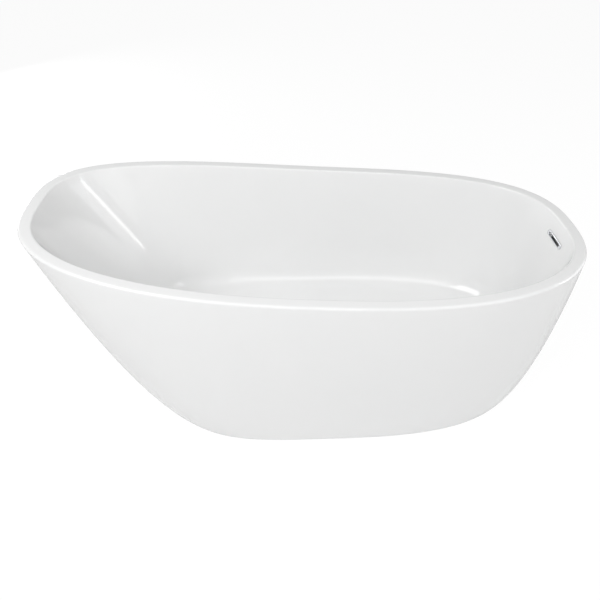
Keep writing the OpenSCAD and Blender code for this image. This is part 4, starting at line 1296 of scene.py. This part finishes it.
clamp_places = (
    ("upper", hose_top - 0.022 * np.array(up_wall), into_wall, up_wall),
    ("lower", np.array([waste_x + 0.044, 0, inlet_z]), (0, 0, -1), (1, 0, 0)))
for name, origin, across, along in clamp_places:
    def slotted(a, r, z):
        cut = (r > hose_r + 0.0008) & (0.0018 < z) & (z < 0.0072)
        return r - 0.0004 * cut * (np.cos(48 * a) > 0.2)

    band = closed_loft(placed(turned(
        [(hose_r, 0.0003), (hose_r + 0.0008, 0.0), (hose_r + 0.001, 0.0003),
         (hose_r + 0.001, 0.0018), (hose_r + 0.001, 0.0020), (hose_r + 0.001, 0.0070),
         (hose_r + 0.001, 0.0072), (hose_r + 0.001, 0.0087), (hose_r + 0.0008, 0.009),
         (hose_r, 0.0087)], 0, 0, 192, slotted), origin, across, (0, 1, 0), along))
    section = rounded_square(0.0030, 0.0012)
    section[:, 0] *= 1.4
    house = [np.column_stack([np.full(len(section), x), hose_r + 0.0030 + section[:, 1] * 0.8,
                              0.0045 + section[:, 0]]) for x in (-0.0040, -0.0034, 0.0040, 0.0046)]
    for k in (0, 3):
        house[k][:, 1:] = house[k][:, 1:] * 0.92 + house[k][:, 1:].mean(0) * 0.08
    turn = np.radians(10.0 * np.arange(36))
    flat_at = 0.0027 / np.cos((turn + math.pi / 6) % (math.pi / 3) - math.pi / 6)
    worm_rows = []
    for x, radius in ((0.0044, 0.0022), (0.0048, 0.0030), (0.0072, 0.0030),
                      (0.0080, 0.0024), (0.0080, 0.0008), (0.0074, 0.0006)):
        ring = np.minimum(radius, flat_at)
        worm_rows.append(np.column_stack([np.full(36, x), hose_r + 0.0030 + ring * np.cos(turn),
                                          0.0045 + ring * np.sin(turn)]))
    clamp = joined("hose_band_" + name, [band, loft(placed(house, origin, across, (0, 1, 0), along)),
                                         loft(placed(worm_rows, origin, across, (0, 1, 0), along))])
    fit_piece(outward_faces(clamp, 30), zinc, "tub", "zinc_steel", "hose_clamp_" + name)

# ---------------------------------------------------------------------------
# Floor and light. A plain pale floor that runs into a white backdrop and is
# clear from below, large soft boxes in front, at both ends and behind, a
# dim even fill, and a work light lying on the floor to show the frame.
floor_mesh = new_piece("studio_floor", [(-14, -14, 0), (14, -14, 0), (14, 14, 0),
                                        (-14, 14, 0)], [(0, 1, 2, 3)], False)
pale = bpy.data.materials.new("pale_floor")
pale.use_nodes = True
tree = pale.node_tree
shader = tree.nodes["Principled BSDF"]
shader.inputs["Base Color"].default_value = (0.80, 0.80, 0.80, 1)
shader.inputs["Roughness"].default_value = 0.9
shader.inputs["Specular IOR Level"].default_value = 0.0
seen = node(tree, "LightPath")
paper = node(tree, "Emission", {"Color": (1, 1, 1, 1), "Strength": 1.05})
share = node(tree, "Math", {0: seen.outputs["Is Camera Ray"], 1: 0.88}, operation="MULTIPLY")
both = node(tree, "MixShader", {0: share.outputs[0], 1: shader.outputs[0],
                                2: paper.outputs[0]})
clear = node(tree, "BsdfTransparent")
side = node(tree, "NewGeometry")
one_way = node(tree, "MixShader", {0: side.outputs["Backfacing"], 1: both.outputs[0],
                                   2: clear.outputs[0]})
tree.links.new(one_way.outputs[0], tree.nodes["Material Output"].inputs["Surface"])
floor_mesh.data.materials.append(pale)

world = bpy.data.worlds.new("studio")
bpy.context.scene.world = world
world.use_nodes = True
tree = world.node_tree
sky = tree.nodes["Background"]
sky.inputs["Color"].default_value = (1.0, 1.0, 1.0, 1)
seen = node(tree, "LightPath")
fill = node(tree, "MapRange", {"Value": seen.outputs["Is Camera Ray"], "To Min": 0.33,
                               "To Max": 1.05})
tree.links.new(fill.outputs["Result"], sky.inputs["Strength"])


def soft_box(name, azimuth, height, power, size=2.0, width=None):
    """A soft box 4 m away, turned round from the front toward the overflow
    end, aimed at the middle of the bath. A width makes it an upright strip."""
    data = bpy.data.lights.new(name, "AREA")
    data.shape, data.size, data.size_y = "RECTANGLE", width or size, size
    data.energy = power
    lamp = bpy.data.objects.new(name, data)
    bpy.context.scene.collection.objects.link(lamp)
    turn, up = math.radians(azimuth), math.radians(height)
    aim = Vector((0, 0, 0.35))
    lamp.location = aim + 4.0 * Vector((math.sin(turn) * math.cos(up),
                                        -math.cos(turn) * math.cos(up), math.sin(up)))
    lamp.rotation_mode = "QUATERNION"
    lamp.rotation_quaternion = (aim - lamp.location).to_track_quat("-Z", "Y")
    return lamp


soft_box("front_high", 0, 48, 28)
soft_box("head_front_high", 315, 48, 75)
soft_box("foot_front_low", 45, 12, 11)
soft_box("foot_front_high", 45, 48, 11)
soft_box("foot_low", 92, 12, 20)
soft_box("foot_strip", 80, 14, 13, 2.0, 0.5)
soft_box("back_low", 225, 12, 49)
work_light = bpy.data.lights.new("work_light", "AREA")
work_light.shape, work_light.size, work_light.size_y = "RECTANGLE", 0.9, 0.3
work_light.energy = 1.5
under = bpy.data.objects.new("work_light", work_light)
bpy.context.scene.collection.objects.link(under)
under.location, under.rotation_euler = (0.05, 0, 0.002), (math.pi, 0, 0)
under.visible_camera = under.visible_glossy = False
bpy.context.scene.view_settings.view_transform = "Standard"
